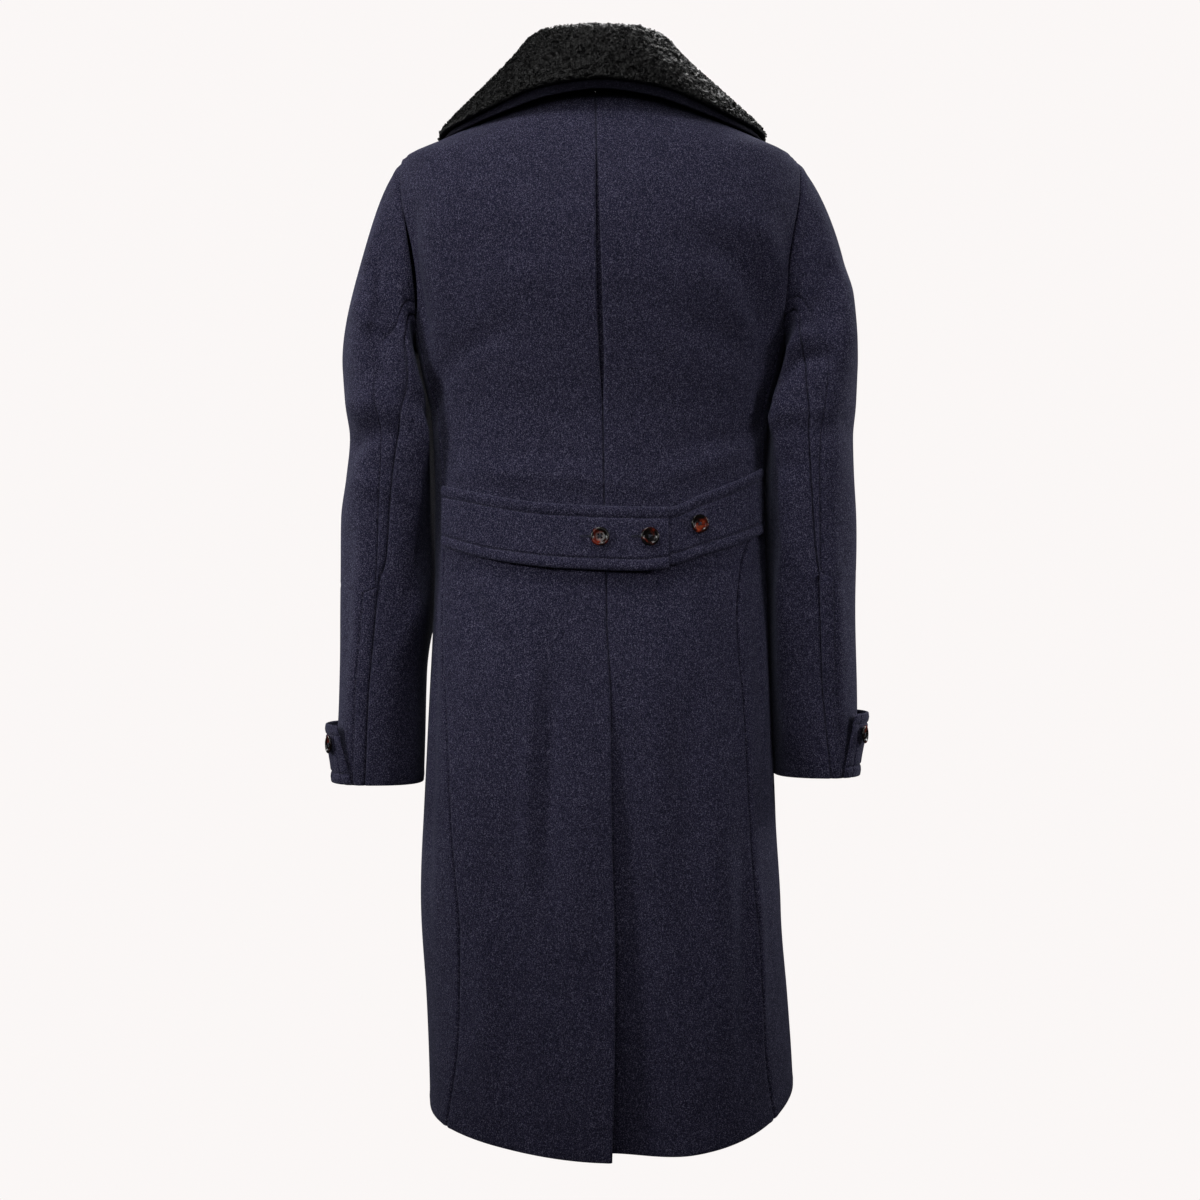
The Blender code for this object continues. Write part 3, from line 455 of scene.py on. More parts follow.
sleeveCreases = {
    "left": table(
        sleeveCreaseColumns,
        (62, 150, 112, 290, 4, 11, -4.6),
        (52, 225, 96, 262, -4, 13, 3.4),
        (48, 190, 86, 225, 3, 10, -2.6),
        (34, 392, 98, 372, 4, 12, -4.4),
        (36, 345, 100, 338, -3, 15, 3.4),
        (118, 385, 132, 560, 3, 20, -6.4),
        (100, 330, 150, 390, 4, 10, -3.6),
        (36, 425, 100, 440, 3, 15, 2.4),
        (40, 470, 46, 640, 3, 14, -2.2),
        (64, 520, 60, 700, -2, 12, 1.8),
        (110, 450, 104, 610, 3, 12, -2.2),
        (-60, 350, -120, 372, 3, 10, -4),
        (-50, 405, -125, 415, 2, 10, -4),
        (-55, 378, -125, 392, 2, 10, 3),
        (-30, 500, -50, 700, 4, 14, -2.2),
        (-70, 170, -95, 290, 4, 13, -3.4),
    ),
    "right": table(
        sleeveCreaseColumns,
        (70, 180, 104, 262, -3, 12, -3.6),
        (30, 190, 60, 300, 4, 18, 2.8),
        (88, 285, 128, 325, 2, 10, -4.2),
        (96, 262, 124, 290, 2, 9, 2.6),
        (36, 360, 90, 382, 3, 16, -2.6),
        (116, 345, 134, 540, 3, 20, -6.4),
        (92, 345, 140, 372, 3, 11, 3),
        (96, 400, 135, 440, 3, 12, -3),
        (50, 420, 54, 560, 3, 13, -1.6),
        (66, 480, 62, 690, 3, 12, 1.6),
        (112, 500, 108, 690, -3, 13, -1.8),
        (-60, 345, -120, 362, 3, 10, -3.8),
        (-50, 398, -125, 406, 2, 10, -4),
        (-56, 372, -122, 384, 2, 10, 3),
        (-36, 480, -52, 690, 4, 14, -2),
        (-72, 180, -98, 280, 4, 13, -3),
    ),
}
armRadius = 0.050  # turns an angle round the arm into a length for the creases


def sleeveRelief(side, turn, drop):
    creases = sleeveCreases[side]
    starts, ends = np.radians(creases["turn"]) * armRadius, np.radians(creases["toTurn"]) * armRadius
    total = creaseHeight(creases, starts, ends, turn * armRadius, drop, 2 * math.pi * armRadius)
    return (total + ripples(sleeve["ripples"], turn, drop, sign[side])) * creaseGain


def bodyReach(side, drop, y):
    depth = np.where(y >= 0, along(bodyRings, "back", drop), along(bodyRings, "front", drop))
    angle = np.copysign(np.arcsin(np.minimum(np.abs(y) / depth, sleeve["deepest"])), y)
    return sign[side] * bodySurface(drop, onSide(side, angle))[..., 0]


def armPoint(side, drop, turn):
    inner, outer = along(arm, side + "In", drop), along(arm, side + "Out", drop)
    back, fore = along(arm, "back", drop), along(arm, "front", drop)
    bulge = 1 + sleeve["squareness"] * np.sin(2 * turn) ** 2
    middle = (inner + outer) / 2
    x = middle + (outer - inner) / 2 * np.cos(turn) * bulge
    y = (back + fore) / 2 + (back - fore) / 2 * np.sin(turn) * bulge
    press = 1 - ease(*sleeve["pressed"][side], drop)
    touching = bodyReach(side, drop, y) + sleeve["clear"]
    pressedX = mix(x, mix(middle, touching, np.abs(np.cos(turn)) ** sleeve["pressPower"]), press)
    return joined(sign[side] * np.where(np.cos(turn) < 0, pressedX, x), y, -drop)


def armholePoint(side, turn):
    return bodySurface(armholeDrop(turn), onSide(side, armholeAngle(turn)))


def sleeveStart(side, turn):  # where the sleeve leaves the armhole, and in which direction
    step = 0.01
    edge = armholePoint(side, turn)
    normal = bodyPoint(armholeDrop(turn), onSide(side, armholeAngle(turn)), 1.0) - edge
    tangent = armholePoint(side, turn + step) - armholePoint(side, turn - step)
    into = unit(np.cross(normal, tangent))
    middle = np.array([sign[side] * sleeve["armholeMiddle"], 0.0, -(armhole["top"] + armhole["low"]) / 2])
    into = into * np.where(((middle - edge) * into).sum(-1) < 0, -1.0, 1.0)[..., None]
    degrees = np.degrees(turn) % 360.0
    degrees = np.minimum(degrees, 360.0 - degrees)
    lean = np.radians(along(sleeveHead, "lean", degrees))[..., None]
    leave = into * np.cos(lean) + normal * np.sin(lean)
    start = edge + (into * np.cos(lean / 2) + normal * np.sin(lean / 2)) * cloth["gap"]
    return start, leave * along(sleeveHead, "reach", degrees)[..., None] * sleeve["fullness"][side]


def sleeveSurface(side, run, turn):  # run 0 at the armhole, 1 at the biceps and 2 at the cuff's edge
    biceps = np.full(np.broadcast(run, turn).shape, sleeve["biceps"])
    start, leave = sleeveStart(side, turn)
    end = armPoint(side, biceps, turn)
    arrive = (armPoint(side, biceps + 0.01, turn) - end) / 0.01
    arrive = arrive * mix(*sleeve["arrive"], (1 + np.cos(turn)) / 2)[..., None]
    upper = hermite(start, end, leave, arrive, np.minimum(run, 1.0)[..., None])
    lower = armPoint(side, mix(sleeve["biceps"], sleeve["cuff"][side], np.maximum(run - 1, 0.0)), turn)
    return np.where((run >= 1)[..., None], lower, upper)


def sleeveAcross(side, run, turn):
    return sleeveSurface(side, run, turn + sleeve["step"]) - sleeveSurface(side, run, turn - sleeve["step"])


def sleevePoint(side, run, turn, lift):
    step = sleeve["step"]
    low, high = np.maximum(run - step, 0.0), np.minimum(run + step, 2.0)
    low = np.where((low < 1) & (high > 1), 1.0, low)
    fall = sleeveSurface(side, high, turn) - sleeveSurface(side, low, turn)
    place = sleeveSurface(side, run, turn)
    lift = lift + sleeveRelief(side, turn, -place[..., 2]) * ease(0.0, 0.12, run)
    return place + unit(np.cross(fall, sleeveAcross(side, run, turn))) * sign[side] * lift[..., None]


def sleeveShift(side, run, turn, length):
    return length * 2 * sleeve["step"] / norm(sleeveAcross(side, run, turn))


def topSleevePoint(side, share, run, lift):
    seam = np.radians(np.where(share >= 0, along(elbowSeam, side, run), along(elbowSeam, "front", run)))
    seam = seam - sleeveShift(side, run, np.copysign(seam, share), cloth["gap"])
    return sleevePoint(side, run, share * seam, lift)


def underSleevePoint(side, share, run, lift):
    seam = np.radians(np.where(share < 0, along(elbowSeam, side, run), along(elbowSeam, "front", run)))
    seam = seam + sleeveShift(side, run, np.copysign(seam, -share), cloth["gap"])
    return sleevePoint(side, run, math.pi + share * (math.pi - seam), lift)


# Collar: neck seam, top of the fold and outer edge, from the centre back (0) to the front end (1)
collarHalf = (
    (0, 0, 66, 0.5, 0, 71, 60.6, 0, 102, -6.5),
    (0.17, 40.8, 59.7, 0.5, 42, 64, 60, 54, 97.5, -12.5),
    (0.33, 70.6, 34.5, 0.5, 71, 37, 55, 104, 82, -24.5),
    (0.5, 77.7, 9.3, 0.5, 77.5, 10, 49, 154, 52, -37),
    (0.66, 76.5, -15.8, 1, 78, -20, 38, 182, 2, -41),
    (0.75, 69, -36, 3.6, 77.5, -42, 25, 184.5, -24, -44),
    (0.84, 60.5, -60, -9.5, 72, -64, 8, 182, -50, -52),
    (0.92, 56, -78, -26, 65, -80, -12, 172.5, -74.5, -70),
    (1, 49, -89, -43, 56, -92, -35, 152, -96, -98),
)
mirrored = [(-r[0], -r[1], r[2], r[3], -r[4], r[5], r[6], -r[7], r[8], r[9]) for r in collarHalf[:0:-1]]
collarLine = table("at* nx ny nz fx fy fz ex ey ez", *mirrored, *collarHalf)
collar = {
    "knots": (0.00, 0.16, 0.30, 0.36, 0.42, 0.70, 1.00), "radius": 0.0042, "crown": 0.0035, "crownAt": 0.48,
    "foldBack": (1.0, 0.9), "foldFore": (1.1, 0.8), "askew": 0.055, "askewAbout": 0.010, "step": 0.004,
    "furEnd": (0.940, 0.985), "furWidens": (0.22, 0.50), "furEdge": 0.0074, "furThins": 0.12,
    "furGap": 0.0003, "edgeRoll": 0.0030, "rollFrom": 0.90,
}


def collarSurface(at, v):
    at, v = np.broadcast_arrays(at, v)
    neck, fold, edge = (joined(*(along(collarLine, letter + axis, at) for axis in "xyz")) for letter in "nfe")
    out = unit((edge - neck) * np.array([1.0, 1.0, 0.0]))
    up = np.array([0.0, 0.0, 1.0])
    inner = fold - (out * collar["foldBack"][0] + up * collar["foldBack"][1]) * collar["radius"]
    outer = fold + (out * collar["foldFore"][0] - up * collar["foldFore"][1]) * collar["radius"]
    crown = mix(outer, edge, collar["crownAt"]) + unit(out + up) * collar["crown"]
    places = np.stack([neck, mix(neck, inner, 0.5), inner, fold, outer, crown, edge])
    knots = np.array(collar["knots"])
    before = np.concatenate([[0], np.arange(len(knots) - 1)])
    after = np.minimum(np.arange(len(knots)) + 1, len(knots) - 1)
    spans = (knots[after] - knots[before]).reshape(-1, *[1] * (places.ndim - 1))
    slopes = (places[after] - places[before]) / spans
    i = np.clip(np.searchsorted(knots, v, side="right") - 1, 0, len(knots) - 2)
    span = (knots[i + 1] - knots[i])[..., None]

    def pick(rows, index):
        return np.take_along_axis(rows, index[None, ..., None], 0)[0]

    place = hermite(
        pick(places, i), pick(places, i + 1), pick(slopes, i) * span, pick(slopes, i + 1) * span,
        (v[..., None] - knots[i][..., None]) / span,
    )
    place[..., 0] += collar["askew"] * (place[..., 2] - collar["askewAbout"])
    return place


def collarPoint(at, v, lift):
    step = collar["step"]
    low, high = np.maximum(v - step, 0.0), np.minimum(v + step, 1.0)
    west, east = np.maximum(at - step, -1.0), np.minimum(at + step, 1.0)
    fall = collarSurface(at, high) - collarSurface(at, low)
    across = collarSurface(east, v) - collarSurface(west, v)
    return collarSurface(at, v) + unit(np.cross(across, fall)) * np.asarray(lift)[..., None]


# Half belt and cuff straps
beltRows = {
    "left": table(
        "x top bottom",
        (-72.5, 457.9, 524.5),
        (-40, 457.8, 527.5),
        (47, 454.5, 524.2),
        (88.6, 449.7, 519),
        (125, 442.5, 512.5),
        (171, 431.8, 498.5),
    ),
    "right": table(
        "x top bottom",
        (-175.5, 412, 485),
        (-147, 427, 497.6),
        (-106, 444.5, 511),
        (-72.5, 457.9, 520.8),
        (20, 460, 519),
    ),
}
belt = {"gap": 0.0016, "rise": 0.0066, "lapEnd": 0.045, "lapFlat": 0.155}
cuffStraps = {"left": (0.697, 0.7625, 0.0105), "right": (0.684, 0.7545, 0.0095)}
strap = {
    "start": -0.78, "endTop": {"left": 0.542, "right": 0.524}, "endLow": {"left": 0.802, "right": 0.798},
    "gap": 0.0013, "lifted": 0.45, "sinkFrom": 0.62, "sink": 0.55, "tall": 0.066,
}


def beltLift(side, x):
    rise = belt["rise"] if side == "left" else belt["gap"]
    return mix(rise, belt["gap"], ease(belt["lapEnd"], belt["lapFlat"], x))


def beltPoint(side, x, down, lift):
    drop = mix(along(beltRows[side], "top", x), along(beltRows[side], "bottom", x), down)
    return bodyPoint(drop, angleAt(drop, x), lift + beltLift(side, x))


def cuffStrapPoint(side, share, down, lift):
    top, bottom, standOff = cuffStraps[side]
    drop = mix(top, bottom, down)
    place = mix(strap["start"], mix(strap["endTop"][side], strap["endLow"][side], down), share)
    run = 1 + (drop - sleeve["biceps"]) / (sleeve["cuff"][side] - sleeve["biceps"])
    lifted = ease(0.0, strap["lifted"], share) * (1 - strap["sink"] * ease(strap["sinkFrom"], 1.0, share))
    lift = lift + strap["gap"] + standOff * lifted * (1 - ease(0.0, 1.0, down))
    return topSleevePoint(side, place, run, lift)


# Making shells from points: an edge is rounded, swells a little way in, and may turn in or be stitched
edgeStyles = {
    name: {"round": roundOff, "swell": swell, "swellAt": swellAt, "turnIn": turnIn, "stitchAt": stitchAt}
    for name, roundOff, swell, swellAt, turnIn, stitchAt in (
        ("seam", 0.0021, 0.0006, 0.0050, 0.0016, None),
        ("armhole", 0.0018, 0.0010, 0.0080, 0.0012, None),
        ("fold", 0.0015, 0.0003, 0.0040, 0.0, None),
        ("centre", 0.0018, 0.0004, 0.0045, 0.0014, None),
        ("neck", 0.0006, 0.0, 0.0050, 0.0, None),
        ("hem", 0.0015, 0.0004, 0.0080, 0.0, None),
        ("stitched", 0.0018, 0.0006, 0.0060, 0.0, 0.0125),
        ("beltEdge", 0.0024, 0.0011, 0.0050, 0.0, 0.0125),
        ("seamStitched", 0.0021, 0.0012, 0.0060, 0.0016, 0.0148),
        ("fur", 0.0040, 0.0, 0.0060, 0.0, None),
    )
}
stitchGroove = {
    "deep": 0.0014, "wide": 0.0013, "lines": (-0.003, -0.0015, -0.0007, 0.0, 0.0007, 0.0015, 0.003),
}
turnedOver = 0.0012  # how far from a seam the cloth turns in to it
edgeShare = 0.42  # the most of a narrow piece's width that the lines of one edge take up
trialLines = 25


def nearLines(style):  # distances of the mesh lines that follow an edge
    lines = [style["round"] * (1 - math.cos(math.radians(a))) for a in (0, 30, 60, 90)]
    lines += [style["swellAt"] * share for share in (0.5, 1.0)]
    if style["stitchAt"]:
        lines += [style["stitchAt"] + off for off in stitchGroove["lines"]]
    return np.array(sorted(lines))


def lineUp(span, speeds, near, shares):
    low, high = span
    lines = []
    for edge, speed, distances, way in ((low, speeds[0], near[0], 1), (high, speeds[1], near[1], -1)):
        shrink = np.minimum(1, edgeShare * (high - low) * speed / distances[-1])
        lines.append(edge + way * np.outer(distances, shrink / speed))
    start, end = lines[0], lines[1][::-1]
    return np.vstack([start, start[-1] + (end[0] - start[-1]) * shares[:, None], end])


def evenShares(length, near, spacing):
    count = max(2, math.ceil((length - near[0][-1] - near[1][-1]) / spacing))
    return np.linspace(0, 1, count + 1)[1:-1]


def addMesh(name, places, quads, material, slot, triangles=()):
    mesh = bpy.data.meshes.new(name)
    faces = [np.asarray(f, np.int32) for f in (quads, triangles) if len(f)]
    counts = np.concatenate([np.full(len(f), f.shape[1]) for f in faces])
    corners = np.concatenate([f.ravel() for f in faces])
    mesh.vertices.add(len(places))
    mesh.vertices.foreach_set("co", np.asarray(places, np.float32).ravel())
    mesh.loops.add(len(corners))
    mesh.loops.foreach_set("vertex_index", corners)
    mesh.polygons.add(len(counts))
    mesh.polygons.foreach_set("loop_start", np.concatenate([[0], np.cumsum(counts)[:-1]]))
    mesh.polygons.foreach_set("use_smooth", np.ones(len(counts), bool))
    mesh.update(calc_edges=True)
    mesh.validate()
    mesh.materials.append(material)
    piece = bpy.data.objects.new(name, mesh)
    scene.collection.objects.link(piece)
    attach(piece, "root")
    return piece


def outward(places, quads):  # turns every face if the closed form is inside out
    a, b, c = (places[quads[:, k]] for k in range(3))
    return quads if (a * np.cross(b, c)).sum() > 0 else quads[:, ::-1]


def gridSize(places):  # the longest way across a grid of points, and the longest way down it
    return [norm(np.diff(places, axis=axis)).sum(axis).max() for axis in (0, 1)]


def makeShell(
    name, point, across, down, edges, spacing, material, slot, node, thickness, raised, rowShares, roughen
):
    # across and down are the spans of the two parameters; edges names the style of all four sides
    styles = [edgeStyles[edge] for edge in edges.split()]
    near = [nearLines(style) for style in styles]
    middle = thickness / 2 if raised else -thickness / 2
    trial = np.meshgrid(np.linspace(*across, trialLines), np.linspace(*down, trialLines), indexing="ij")
    wide, long = gridSize(point(*trial, np.full(trial[0].shape, middle)))
    uShares = evenShares(wide, near[:2], spacing)
    vShares = evenShares(long, near[2:], spacing) if rowShares is None else rowShares

    def speeds(span, lines, swap):
        found = []
        for edge, way in ((span[0], 1), (span[1], -1)):
            step = way * 1e-3 * (span[1] - span[0])
            pairs = [(np.full(len(lines), at), lines) for at in (edge, edge + step)]
            a, b = (point(*(pair[::-1] if swap else pair), np.full(len(lines), middle)) for pair in pairs)
            found.append(np.maximum(norm(a - b) / abs(step), 1e-4))
        return found

    flatU = lineUp(across, [np.array([wide / (across[1] - across[0])])] * 2, near[:2], uShares)[:, 0]
    flatV = lineUp(down, [np.array([long / (down[1] - down[0])])] * 2, near[2:], vShares)[:, 0]
    uSpeeds, vSpeeds = speeds(across, flatV, False), speeds(down, flatU, True)
    u = lineUp(across, uSpeeds, near[:2], uShares)
    v = lineUp(down, vSpeeds, near[2:], vShares).T
    distances = (
        (u - across[0]) * uSpeeds[0], (across[1] - u) * uSpeeds[1],
        (v - down[0]) * vSpeeds[0][:, None], (down[1] - v) * vSpeeds[1][:, None],
    )
    half = np.full(u.shape, thickness / 2)
    rise = np.zeros(u.shape)
    for distance, style in zip(distances, styles):
        share = np.clip(distance / style["round"], 0, 1)
        half = half * np.sqrt(np.clip(1 - (1 - share) ** 2, 0, 1))
        rise -= style["turnIn"] * bell(distance, turnedOver)
        rise += style["swell"] * bell(distance - style["swellAt"], 0.5 * style["swellAt"])
        if style["stitchAt"]:
            rise -= stitchGroove["deep"] * bell(distance - style["stitchAt"], stitchGroove["wide"])
    outer = point(u, v, middle + rise + half)
    inner = point(u, v, middle + rise - half)
    if roughen:
        outer = roughen(outer, u, v, half / (thickness / 2))
    rows, columns = u.shape[1], u.shape[0]
    index = np.arange(columns * rows).reshape(columns, rows)
    inside = index.copy()
    inside[1:-1, 1:-1] = columns * rows + np.arange((columns - 2) * (rows - 2)).reshape(columns - 2, rows - 2)
    quads = []
    for grid, way in ((index, 1), (inside, -1)):
        block = np.stack([grid[:-1, :-1], grid[1:, :-1], grid[1:, 1:], grid[:-1, 1:]], -1).reshape(-1, 4)
        quads.append(block[:, ::way])
    places = np.vstack([outer.reshape(-1, 3), inner[1:-1, 1:-1].reshape(-1, 3)])
    piece = addMesh(name, places, outward(places, np.vstack(quads)), material, slot)
    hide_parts(node)
    middleFace = (outer + inner) / 2
    a, b, c, d = middleFace[:-1, :-1], middleFace[1:, :-1], middleFace[1:, 1:], middleFace[:-1, 1:]
    area = norm(np.cross(c - a, d - b)).sum() / 2
    return piece, *(round(float(length), 3) for length in gridSize(middleFace)), float(area)


def declareSheet(piece, wide, long, area, held, restsOn):
    print(f"{piece.name}: flat {wide} x {long} m, {area:.4f} m2")


# Materials
def newMaterial(name):
    material = bpy.data.materials.new(name)
    material.use_nodes = True
    return material, material.node_tree, material.node_tree.nodes["Principled BSDF"]


def plug(tree, node, inputs):  # links what is a socket, and sets everything else as a value
    for key, value in inputs.items():
        if hasattr(value, "is_output"):
            tree.links.new(value, node.inputs[key])
        else:
            node.inputs[key].default_value = value
    return node


def addNode(tree, kind, inputs=(), **settings):
    node = tree.nodes.new(kind if kind.startswith("Node") else "ShaderNode" + kind)
    for key, value in settings.items():
        setattr(node, key, value)
    return plug(tree, node, dict(inputs))


def objectPlace(tree):
    return addNode(tree, "TexCoord").outputs["Object"]


def noise(tree, place, scale, detail, **more):
    inputs = {"Vector": place, "Scale": scale, "Detail": detail, **more}
    return addNode(tree, "TexNoise", inputs).outputs["Fac"]


def mapped(tree, value, start, full, most=1.0):
    inputs = {"Value": value, "From Min": start, "From Max": full, "To Max": most}
    return addNode(tree, "MapRange", inputs).outputs[0]


def mixed(tree, share, a, b):
    return addNode(tree, "Mix", {0: share, 6: a, 7: b}, data_type="RGBA").outputs[2]


def toned(tree, value, *stops):
    tone = addNode(tree, "ValToRGB", {"Fac": value})
    elements = tone.color_ramp.elements
    while len(elements) < len(stops):
        elements.new(0.5)
    for element, (position, colour) in zip(elements, stops):
        element.position, element.color = position, (*colour, 1.0)
    return tone.outputs["Color"]


def bumped(tree, height, strength, distance):
    inputs = {"Strength": strength, "Distance": distance, "Height": height}
    return addNode(tree, "Bump", inputs).outputs["Normal"]


melangeLook = {
    "base": (0.0255, 0.0238, 0.0520), "light": (0.165, 0.155, 0.232, 1.0), "dark": (0.003, 0.003, 0.008, 1.0),
    "lightAmount": 0.80, "darkAmount": 0.85, "fleck": 980.0, "fibre": (860.0, 860.0, 330.0), "cloud": 38.0,
}


def melangeGroup():  # light and dark fibres spun together, then felted
    group = bpy.data.node_groups.new("melangeFelt", "ShaderNodeTree")
    for label, way, kind in (
        ("Base", "INPUT", "Color"), ("Light amount", "INPUT", "Float"), ("Dark amount", "INPUT", "Float"),
        ("Colour", "OUTPUT", "Color"), ("Height", "OUTPUT", "Float"),
    ):
        group.interface.new_socket(name=label, in_out=way, socket_type="NodeSocket" + kind)
    given, result = addNode(group, "NodeGroupInput"), addNode(group, "NodeGroupOutput")
    place = objectPlace(group)
    fine = noise(group, place, melangeLook["fleck"], 1.0, Roughness=0.6)
    stretched = addNode(group, "Mapping", {"Vector": place, "Scale": melangeLook["fibre"]}).outputs["Vector"]
    streak = noise(group, stretched, 1.0, 3.0, Roughness=0.65, Distortion=0.8)
    both = addNode(group, "Math", {0: streak, 1: 0.6, 2: fine}, operation="MULTIPLY_ADD").outputs[0]
    colour = given.outputs["Base"]
    for amount, fibre, start, full in (
        ("Light amount", "light", 0.85, 1.00), ("Dark amount", "dark", 0.78, 0.64),
    ):
        factors = {0: mapped(group, both, start, full), 1: given.outputs[amount]}
        share = addNode(group, "Math", factors, operation="MULTIPLY").outputs[0]
        colour = mixed(group, share, colour, melangeLook[fibre])
    clouds = mapped(group, noise(group, place, melangeLook["cloud"], 3.0), 0.40, 0.75, 0.16)
    plug(group, result, {"Colour": mixed(group, clouds, colour, melangeLook["dark"]), "Height": both})
    return group


def woolMaterial(name, group, tone):
    material, tree, shader = newMaterial(name)
    felt = addNode(tree, "Group", {
        "Base": [c * tone for c in melangeLook["base"]] + [1.0],
        "Light amount": melangeLook["lightAmount"] * min(1.0, tone), "Dark amount": melangeLook["darkAmount"],
    }, node_tree=group)
    plug(tree, shader, {
        "Base Color": felt.outputs["Colour"], "Normal": bumped(tree, felt.outputs["Height"], 0.5, 0.0006),
        "Roughness": 0.93, "Specular IOR Level": 0.10, "Sheen Weight": 0.09 * tone, "Sheen Roughness": 0.55,
        "Sheen Tint": (0.55, 0.60, 0.85, 1.0),
    })
    return material


def furMaterial():
    material, tree, shader = newMaterial("blackCurlyPile")
    place = objectPlace(tree)
    lumps = noise(tree, place, 400.0, 4.0)
    plug(tree, shader, {
        "Base Color": toned(tree, lumps, (0.48, (0.0003, 0.0003, 0.0003)), (0.74, (0.0110, 0.0110, 0.0110))),
        "Normal": bumped(tree, noise(tree, place, 330.0, 3.0), 1.0, 0.0030),
        "Roughness": 0.37, "Specular IOR Level": 0.20, "Sheen Weight": 0.0,
    })
    return material


def buttonMaterial():
    material, tree, shader = newMaterial("marbledHorn")
    swirl = noise(tree, objectPlace(tree), 62.0, 3.0, Distortion=1.2)
    marble = toned(
        tree, swirl, (0.48, (0.004, 0.003, 0.003)), (0.56, (0.030, 0.006, 0.004)),
        (0.64, (0.17, 0.018, 0.008)), (0.78, (0.36, 0.070, 0.024)),
    )
    plug(tree, shader, {"Base Color": marble, "Roughness": 0.20, "Specular IOR Level": 0.36})
    return material


def threadMaterial():
    material, tree, shader = newMaterial("navyThread")
    ply = noise(tree, objectPlace(tree), 2400.0, 2.0)
    navy = toned(tree, ply, (0.0, (0.008, 0.009, 0.018)), (1.0, (0.030, 0.033, 0.056)))
    plug(tree, shader, {"Base Color": navy, "Roughness": 0.7})
    return material


felt = melangeGroup()
wool = woolMaterial("navyMelangeWool", felt, 1.0)
innerWool = woolMaterial("navyMelangeUnderside", felt, 0.92)
# the under-collar's wool is the same wool darkened to 0.22 of its tone, with less sheen: painted shade for
# the shadow the fur pile casts on it
undercollarPaintedShadeWool = woolMaterial("undercollarWoolPaintedShade", felt, 0.22)
pile = furMaterial()
horn = buttonMaterial()
thread = threadMaterial()
print("materials made")


# Body, fronts and sleeves
fineness = {
    "back": 0.0052, "front": 0.0066, "side": 0.0062, "sleeve": 0.0052, "small": 0.0030, "underlay": 0.0060,
    "underCollar": 0.0050, "pile": 0.0021,
}
rowsKept = (0.004, 0.994)  # nearer to the neck and the hem the edges' own lines run
shoulderRows = np.linspace(0, armhole["top"], 16)
armholeRows = armholeDrop(np.linspace(0, joinTurn, 44))
skirtRows = np.linspace(joinDrop, hem["drop"], 165)
panelRows = np.concatenate([shoulderRows[1:], armholeRows[1:], skirtRows[1:-1]]) / hem["drop"]
panelRows = panelRows[(panelRows > rowsKept[0]) & (panelRows < rowsKept[1])]
sheets = []


def sew(name, point, spans, edges, fine, held, restsOn, node, **more):
    looks = {
        "material": wool, "slot": "wool", "thickness": cloth["wool"], "raised": False, "rowShares": None,
        "roughen": None, **more,
    }
    made = makeShell(name, point, *spans, edges, fineness[fine], node=node, **looks)
    sheets.append((*made, held, restsOn))


fullLength, skirt, unitSpans = (0, hem["drop"]), (joinDrop, hem["drop"]), ((0, 1), (0, 1))
panel, raised = {"rowShares": panelRows}, {"raised": True}
belted = {"raised": True, "thickness": cloth["beltWool"]}
for side in sides:
    big = side.capitalize()
    body = ["back" + big, "front" + big]
    beltSpans = (beltRows[side]["x"][[0, -1]], (0, 1))
    beltEdges = f"fold {'seam' if side == 'left' else 'fold'} beltEdge beltEdge"
    for name, node, point, spans, edges, fine, held, restsOn, more in (
        ("back", "back_", backPoint, ((0, 1), fullLength), "centre seam neck hem",
         "back", "hung", ["underCollar"], panel),
        ("front", "front_", frontPoint, ((0, 1), fullLength), "seam fold seam hem",
         "front", "hung", body[:1], panel),
        ("side", "side_", sidePoint, ((-1, 1), skirt), "seam seam armhole hem", "side", "hung", body, {}),
        ("lapel", "lapel_", lapelPoint, unitSpans, "fold fold fold fold",
         "small", "folded", body[1:], raised),
        ("sleeveTop", "sleeve_top_", topSleevePoint, ((-1, 1), (0, 2)), "seam seamStitched armhole hem",
         "sleeve", "hung", body, {}),
        ("sleeveUnder", "sleeve_under_", underSleevePoint, ((-1, 1), (0, 2)), "seam seam seam hem",
         "sleeve", "hung", ["side" + big], {}),
        ("cuffStrap", "cuff_strap_", cuffStrapPoint, unitSpans, "fold stitched stitched stitched",
         "small", "folded", ["sleeveTop" + big], raised),
        ("halfBelt", "half_belt_", beltPoint, beltSpans, beltEdges,
         "small", "laid", ["backLeft", "backRight"], belted),
    ):
        sew(name + big, partial(point, side), spans, edges, fine, held, restsOn, node + side, **more)
    print(side, "half sewn")

pleat = {
    "half": 0.040, "drops": (-0.0025, 0.460), "gap": 0.0009, "sunk": 0.0055, "sunkWide": 0.012,
    "sinks": (0.07, 0.12),
}


def pleatPoint(across, drop, lift):
    x = along(backLines, "centre", drop) + across
    angle = angleAt(drop, x)
    sunk = pleat["sunk"] * bell(across, pleat["sunkWide"]) * ease(*pleat["sinks"], drop)
    return bodyPoint(drop, angle, lift - cloth["wool"] - pleat["gap"] - sunk + bodyRelief(angle, drop))


sew(
    "pleatUnderlay", pleatPoint, ((-pleat["half"], pleat["half"]), pleat["drops"]), "fold fold fold fold",
    "underlay", "hung", ["backLeft", "backRight"], "pleat_underlay", material=innerWool,
)


# Collar and its pile
noiseCells = np.random.default_rng(5).random((32, 32, 32))


def valueNoise(places, scale):
    corner = np.floor(places * scale).astype(int)
    t = ease(0, 1, places * scale - corner)
    total = 0.0
    for step in np.ndindex(2, 2, 2):
        index = (corner + step) % len(noiseCells)
        total = total + np.where(step, t, 1 - t).prod(-1) * noiseCells[tuple(np.moveaxis(index, -1, 0))]
    return total


def pileDepth(share):
    return mix(collar["furEdge"], cloth["fur"], ease(0.0, collar["furThins"], 1 - share))


pileLook = {
    "lump": 230.0, "lumpHigh": 0.0040, "curl": 430.0, "curlHigh": 0.0026, "curlShift": 3.1, "sink": 0.0014,
}


